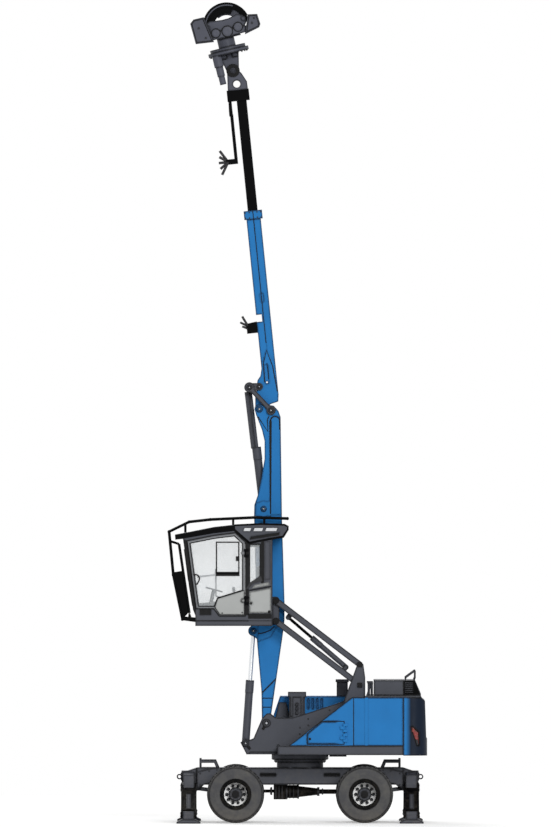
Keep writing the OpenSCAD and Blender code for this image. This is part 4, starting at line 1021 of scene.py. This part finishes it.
# Outlines in the side view, and the roof's upper edge from the back to the front
door_edge = [(-1.968, 4.085), (-1.634, 4.085), (-1.528, 3.945), (-1.05, 3.945), (-1.05, 5.335),
             (-1.232, 5.505), (-1.632, 5.455), (-2.136, 5.355)]
door_window = [(-1.925, 4.125), (-1.635, 4.125), (-1.572, 4.285), (-1.1, 4.43), (-1.1, 5.312),
               (-1.25, 5.452), (-1.632, 5.404), (-2.086, 5.314)]
door_panel = [(-1.612, 4.105), (-1.52, 3.965), (-1.064, 3.965), (-1.064, 4.415), (-1.562, 4.262)]
quarter_window = [(-0.955, 4.56), (-0.76, 4.69), (-0.76, 5.295), (-0.955, 5.295)]
far_window = [(-1.925, 4.16), (-0.7, 4.3), (-0.7, 5.25), (-0.985, 5.25), (-1.235, 5.48), (-1.632, 5.43),
              (-2.088, 5.335)]
roof_top = [(-0.23, 5.632), (-0.297, 5.667), (-0.743, 5.682), (-1.246, 5.657), (-1.632, 5.615),
            (-2.135, 5.515), (-2.37, 5.472)]


def door_details():
    y = -cab_out
    seals = Form("door_seals", seal_and_shade, "cab_door")
    seals.band(grown(door_window, 0.006), 0.02, y, -seam_rise)
    seals.band(grown(door_panel, 0.006), 0.014, y, -0.006)
    slider = Form("sliding_window", seal_and_shade, "cab_door", bevel=0.003)
    slider_edge = [(-1.588, 4.74), (-1.163, 4.74), (-1.163, 5.337), (-1.588, 5.337)]
    slider.band(slider_edge, 0.024, y + 0.015, -0.012)
    slider.box((-1.6, y + 0.003, 4.694), (-1.151, y + 0.015, 4.775))
    slider.box((-1.22, y - 0.008, 4.98), (-1.165, y + 0.015, 5.07))
    rail = Form("door_rail", inner_grey, "cab_door", bevel=0.004)
    rail.prism([(-1.95, 4.66), (-1.6, 4.7), (-1.6, 4.735), (-1.955, 4.7)], y + 0.03, y + 0.05)
    grab = Form("door_grab", seal_and_shade, "cab_door")
    grab.tube([(-2.02, y - 0.002, 4.722), (-1.98, y - 0.035, 4.725), (-1.935, y - 0.04, 4.705),
               (-1.91, y - 0.04, 4.66), (-1.918, y - 0.04, 4.61), (-1.945, y - 0.035, 4.56),
               (-1.965, y - 0.002, 4.535)], 0.014, 12)
    studs = Form("door_studs", steel, "cab_door")
    for spot in ((-1.48, 3.99), (-1.1, 4.0)):
        studs.bolt(at(spot, y - 0.006), (0, -1, 0), 0.012, 0.01)


def cab_side_details():
    y = -cab_out
    seals = Form("cab_seals", seal_and_shade, "cab")
    seals.band(grown(door_edge, 0.012), 0.016, y, -seam_rise)
    seals.band(grown(quarter_window, 0.004), 0.024, y, -seam_rise)
    seals.band(grown(far_window, 0.004), 0.024, -cab_in, seam_rise)
    for points, width, rise in (([(-0.713, 4.5), (-0.713, 5.36)], 0.056, 0.008),
                                ([(-1.005, 3.95), (-1.005, 5.35)], 0.062, 0.006),
                                ([(-0.97, 4.421), (-0.55, 4.496)], 0.022, 0.008),
                                ([(-1.985, 3.844), (-0.98, 3.844)], 0.02, seam_rise)):
        seals.line(points, width, y, -rise)
    seals.prism([(-0.985, 3.885), (-0.54, 3.885), (-0.54, 3.978), (-0.985, 3.978)], y - 0.006, y)
    front = [(-2.224, 5.4), (-2.034, 4.06), (-1.989, 3.945), (-1.975, 4.07), (-2.15, 5.37)]
    seals.prism(front, y - seam_rise, y)
    rim = Form("roof_rim", dark, "cab", bevel=0.002)
    fascia = [(-2.372, 5.39), (-2.225, 5.405), (-1.632, 5.508), (-1.22, 5.553)] + roof_top[3:]
    sill = [(-1.235, 5.56), (-0.965, 5.325), (-0.543, 5.405), (-0.33, 5.44)]
    for side, way in ((y, -1), (-cab_in, 1)):
        rim.prism(fascia, side, side + way * 0.005)
        rim.line(sill, 0.045, side, way * 0.006)
        rim.line([(-0.33, 5.44), (-0.235, 5.578)] + roof_top[:4], 0.03, side, way * 0.006)
    post = [(-0.682, 4.61), (-0.56, 4.63), (-0.56, 5.36), (-0.682, 5.36)]
    Form("rear_post", grey, "cab", bevel=0.002).prism(post, y - 0.006, y)
    handle = [(-1.03, 4.45), (-0.985, 4.45), (-0.894, 4.545), (-0.715, 4.6), (-0.745, 4.7), (-0.96, 4.565)]
    Form("rear_handle", plastic, "cab", bevel=0.004).prism(handle, y - 0.012, y)
    badge = [(-0.93, 4.455), (-0.575, 4.515), (-0.59, 4.585), (-0.86, 4.535)]
    Form("rear_plate", pale, "cab", bevel=0.003).prism(badge, y - 0.01, y)
    lock = Form("locker_lock", seal_and_shade, "cab")
    button = [(0, 0.0), (0.022, 0.0), (0.022, 0.008), (0.016, 0.011), (0, 0.011)]
    knob = [(0, 0.0), (0.03, 0.0), (0.026, 0.016), (0, 0.016)]
    for profile, spot in ((button, (-0.93, 4.18)), (knob, (-0.585, 4.015))):
        lock.lathe(profile, at(spot, y - 0.014), (0, -1, 0), 24)
    # Painted shade: a black sheet at the back of the step's recess.
    Form("cab_step_shade", seal_and_shade, "cab").box((-1.9, y + 0.008, 3.96), (-1.695, y + 0.0135, 4.065))
    panes = Form("roof_lights", light_lens, "cab", bevel=0.001)
    for a, b in ((-1.08, -0.945), (-0.89, -0.72), (-0.665, -0.45)):
        outline = [(a + 0.004, 5.548), (b - 0.004, 5.548), (b + 0.019, 5.607), (a + 0.027, 5.607)]
        for side in (y + 0.005, -cab_in - 0.0135):
            panes.prism(outline, side, side + 0.0085)
    shade = Form("roof_slot", seal_and_shade, "cab")
    for side in (y + 0.008, -cab_in - 0.0135):
        shade.prism([(-0.955, 5.39), (-0.405, 5.474), (-0.39, 5.52), (-0.93, 5.441)], side, side + 0.0055)
    wiper = Form("wiper", seal_and_shade, "cab")
    wiper.tube([(-2.045, -0.8, 4.13), (-2.105, -0.62, 4.5), (-2.165, -0.56, 4.95)], 0.01, 8)
    wiper.tube([(-2.12, -0.57, 4.6), (-2.2, -0.55, 5.2)], 0.012, 8)


def guard_wires():
    """Crossed wires of the front guard's screen, between the two side tubes."""
    wires = Form("guard_wires", wire, "cab")
    y0 = -cab_out + 0.06
    y1 = -cab_in - 0.06
    top, bend, foot = [Vector(p) for p in ((-2.49, 5.536), (-2.41, 4.717), (-2.235, 3.871))]
    for k in range(1, 14):
        y = y0 + (y1 - y0) * k / 14
        wires.tube([at(p, y) for p in (top, bend, foot)], 0.006, 6)
    for start, end, count in ((top, bend, 9), (bend, foot, 10)):
        for k in range(count):
            spot = start.lerp(end, (k + 0.5) / count) + Vector((0.009, 0))
            wires.rod(at(spot, y0), at(spot, y1), 0.006, 6)


door_details()
cab_side_details()
guard_wires()


# Seat and controls


def cushion(name, centre, size, lean=0.0):
    """A crowned cushion: a rounded block whose sides pull in between its corners, with sewn channels."""
    crown = 0.14
    work = bmesh.new()
    bmesh.ops.create_cube(work, size=2.0)
    bmesh.ops.subdivide_edges(work, edges=work.edges[:], cuts=22, use_grid_fill=True)
    for vert in work.verts:
        x, y, z = vert.co
        edge = max(abs(x), abs(y))
        puff = (1 - abs(x) ** 4) * (1 - abs(y) ** 4)
        waist = 1 - 0.05 * (1 - z * z) * (1 - min(abs(x), abs(y)) ** 2)
        channel = 0.06 * math.exp(-((abs(y) - 0.55) / 0.06) ** 2) * (1 if z > 0.5 else 0)
        top = z * (1 - crown + crown * puff) - (channel if edge < 0.97 else 0)
        corner = (abs(x) ** 6 + abs(y) ** 6 + abs(z) ** 6) ** (1 / 6)
        shrink = 1 / max(corner, 1.0) ** 0.75
        px = x * waist * shrink * size[0] / 2
        py = y * waist * shrink * size[1] / 2
        pz = top * shrink * size[2] / 2
        vert.co = (centre[0] + px * math.cos(lean) + pz * math.sin(lean), centre[1] + py,
                   centre[2] - px * math.sin(lean) + pz * math.cos(lean))
    mesh = bpy.data.meshes.new(name)
    work.to_mesh(mesh)
    work.free()
    for face in mesh.polygons:
        face.use_smooth = True
    mesh.materials.append(seat_cloth)
    made = placed(name, mesh)
    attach(made, "cab")


def seat():
    base = Form("seat_frame", plastic, "cab", "seat_trim", ["cab_seat"], bevel=0.004)
    pillar = [(0.0, 0.0), (0.2, 0.0), (0.2, 0.02), (0.13, 0.05), (0.12, 0.2), (0.19, 0.24),
              (0.19, 0.258), (0.0, 0.258)]
    base.lathe(pillar, (-0.97, seat_y, cab_floor), (0, 0, 1), 40)
    console = [(-1.3, cab_floor), (-0.78, cab_floor), (-0.78, 4.16), (-0.95, 4.22), (-1.18, 4.3),
               (-1.29, 4.28)]
    lever = [(0.0, 0.0), (0.034, 0.0), (0.026, 0.03), (0.014, 0.05), (0.013, 0.12), (0.028, 0.14),
             (0.03, 0.19), (0.02, 0.21), (0.0, 0.21)]
    for y in (-1.091, -0.511):
        base.prism(console, y - 0.037, y + 0.037)
        base.lathe(lever, (-1.235, y, 4.27), (-0.16, 0, 1), 24)
    column = [(-1.757, 3.84), (-1.72, 4.05), (-1.66, 4.34), (-1.64, 4.42)]
    base.tube([at(p, seat_y) for p in column], 0.036, 16)
    collar = [(0.0, 0.0), (0.07, 0.0), (0.066, 0.03), (0.045, 0.06), (0.0, 0.06)]
    base.lathe(collar, (-1.757, seat_y, cab_floor), (0, 0, 1), 28)
    tilt = Vector((math.sin(math.radians(15)), 0, math.cos(math.radians(15))))
    hub = Vector(at(column[-1], seat_y))
    base.lathe([(0.155 + r, 0.015 + h) for r, h in spots(10, 0.015)], hub, tilt, 48)
    base.lathe([(0.0, 0.0), (0.045, 0.0), (0.04, 0.022), (0.0, 0.022)], hub, tilt, 28)
    u, v = across_of(tilt)
    for a, b in spots(3, 0.15):
        base.rod(hub + tilt * 0.012, hub + u * a + v * b + tilt * 0.014, 0.011, 8)
    base.box((-1.62, -0.47, 4.62), (-1.585, -0.41, 4.82))
    base.rod((-1.6, -0.44, 4.3), (-1.6, -0.44, 4.64), 0.012, 10)
    base.rod((-1.235, -0.511, 4.18), (-1.6, -0.44, 4.31), 0.014, 10)
    cushion("seat_pad", (-1.01, seat_y, 4.135), (0.49, 0.49, 0.13))
    cushion("seat_back", (-0.748, seat_y, 4.535), (0.71, 0.47, 0.125), lean=math.radians(-96))
    cushion("seat_head", (-0.68, seat_y, 4.985), (0.18, 0.235, 0.09), lean=math.radians(-96))


seat()


# Rear lamps


def lamp_details():
    outline = [(2.211, 1.47), (2.265, 1.47), (2.257, 1.724), (2.14, 1.845), (2.095, 1.829), (2.175, 1.6)]
    dome = [(0, -0.004), (0.03, -0.004), (0.027, 0.004), (0.012, 0.008), (0, 0.009)]
    for side, way in (("left", -1), ("right", 1)):
        bezel = Form("lamp_bezel_" + side, seal_and_shade, "upper", bevel=0.002)
        bezel.band(grown(outline, -0.006), 0.01, way * 1.1395, way * 0.034)
        amber = Form("lamp_amber_" + side, amber_lens, "upper")
        amber.lathe(dome, at(lamp_lenses[0], way * 1.171), (0, way, 0), 28)


lamp_details()
for form in forms:
    form.build()


# Stage


def looked_at(tree):
    """1 for the rays of the camera, of gloss and of glass, and 0 for the light itself."""
    path = tree.nodes.new("ShaderNodeLightPath")
    seen = path.outputs["Is Camera Ray"]
    for name in ("Is Glossy Ray", "Is Transmission Ray"):
        both = tree.nodes.new("ShaderNodeMath")
        both.operation = "MAXIMUM"
        tree.links.new(seen, both.inputs[0])
        tree.links.new(path.outputs[name], both.inputs[1])
        seen = both.outputs["Value"]
    return seen


def stage_floor():
    mesh = bpy.data.meshes.new("floor")
    reach = 30.0
    corners_xy = ((-reach, -reach), (reach, -reach), (reach, reach), (-reach, reach))
    mesh.from_pydata([(x, y, 0) for x, y in corners_xy], [], [(0, 1, 2, 3)])
    look = Look("floor")
    glow = look.sums("MULTIPLY", looked_at(look.tree), 0.3)
    look.set(look.surface, {"Emission Color": (1, 1, 1, 1), "Emission Strength": glow})
    base = look.mix(look.steps(look.noise(0.6), 0.3, 0.7), linear(240, 240, 239), linear(246, 246, 245))
    look.bump(look.noise(30.0), 0.02, 0.002)
    mesh.materials.append(look.finish(base, 0.9, specular=0.05))
    floor = placed("floor", mesh)
    floor.location.z = -0.002


def sky():
    """White where the camera, gloss and glass look at it, and a plain soft light elsewhere."""
    world = bpy.data.worlds.new("studio")
    bpy.context.scene.world = world
    world.use_nodes = True
    tree = world.node_tree
    tree.nodes.clear()
    seen = looked_at(tree)
    choice = tree.nodes.new("ShaderNodeMixShader")
    tree.links.new(seen, choice.inputs[0])
    light_strength = 0.47
    white_strength = 1.0
    for socket, strength in ((choice.inputs[1], light_strength), (choice.inputs[2], white_strength)):
        shade = tree.nodes.new("ShaderNodeBackground")
        shade.inputs["Color"].default_value = (1, 1, 1, 1)
        shade.inputs["Strength"].default_value = strength
        tree.links.new(shade.outputs[0], socket)
    out = tree.nodes.new("ShaderNodeOutputWorld")
    tree.links.new(choice.outputs[0], out.inputs["Surface"])


def lamps():
    for name, strength, turn in (("key", 1.9, (71, 0, 16)), ("fill", 1.2, (62, 0, 200))):
        data = bpy.data.lights.new(name, "SUN")
        data.energy = strength
        data.angle = math.radians(25)
        placed(name, data).rotation_euler = [math.radians(a) for a in turn]


def camera():
    """A long lens square to the machine's left side, as the side elevation is drawn."""
    seen_height = 15.754
    middle = Vector((-0.467, 0.0, 7.782))
    data = bpy.data.cameras.new("camera")
    data.lens = 1000.0
    data.sensor_width = 36.0
    away = seen_height * data.lens / data.sensor_width
    data.clip_start = 1.0
    data.clip_end = 2 * away
    eye = placed("camera", data)
    eye.location = middle - Vector((0, away, 0))
    eye.rotation_euler = (math.radians(90), 0, 0)
    bpy.context.scene.camera = eye


stage_floor()
sky()
lamps()
camera()
bpy.context.scene.view_settings.view_transform = "Standard"
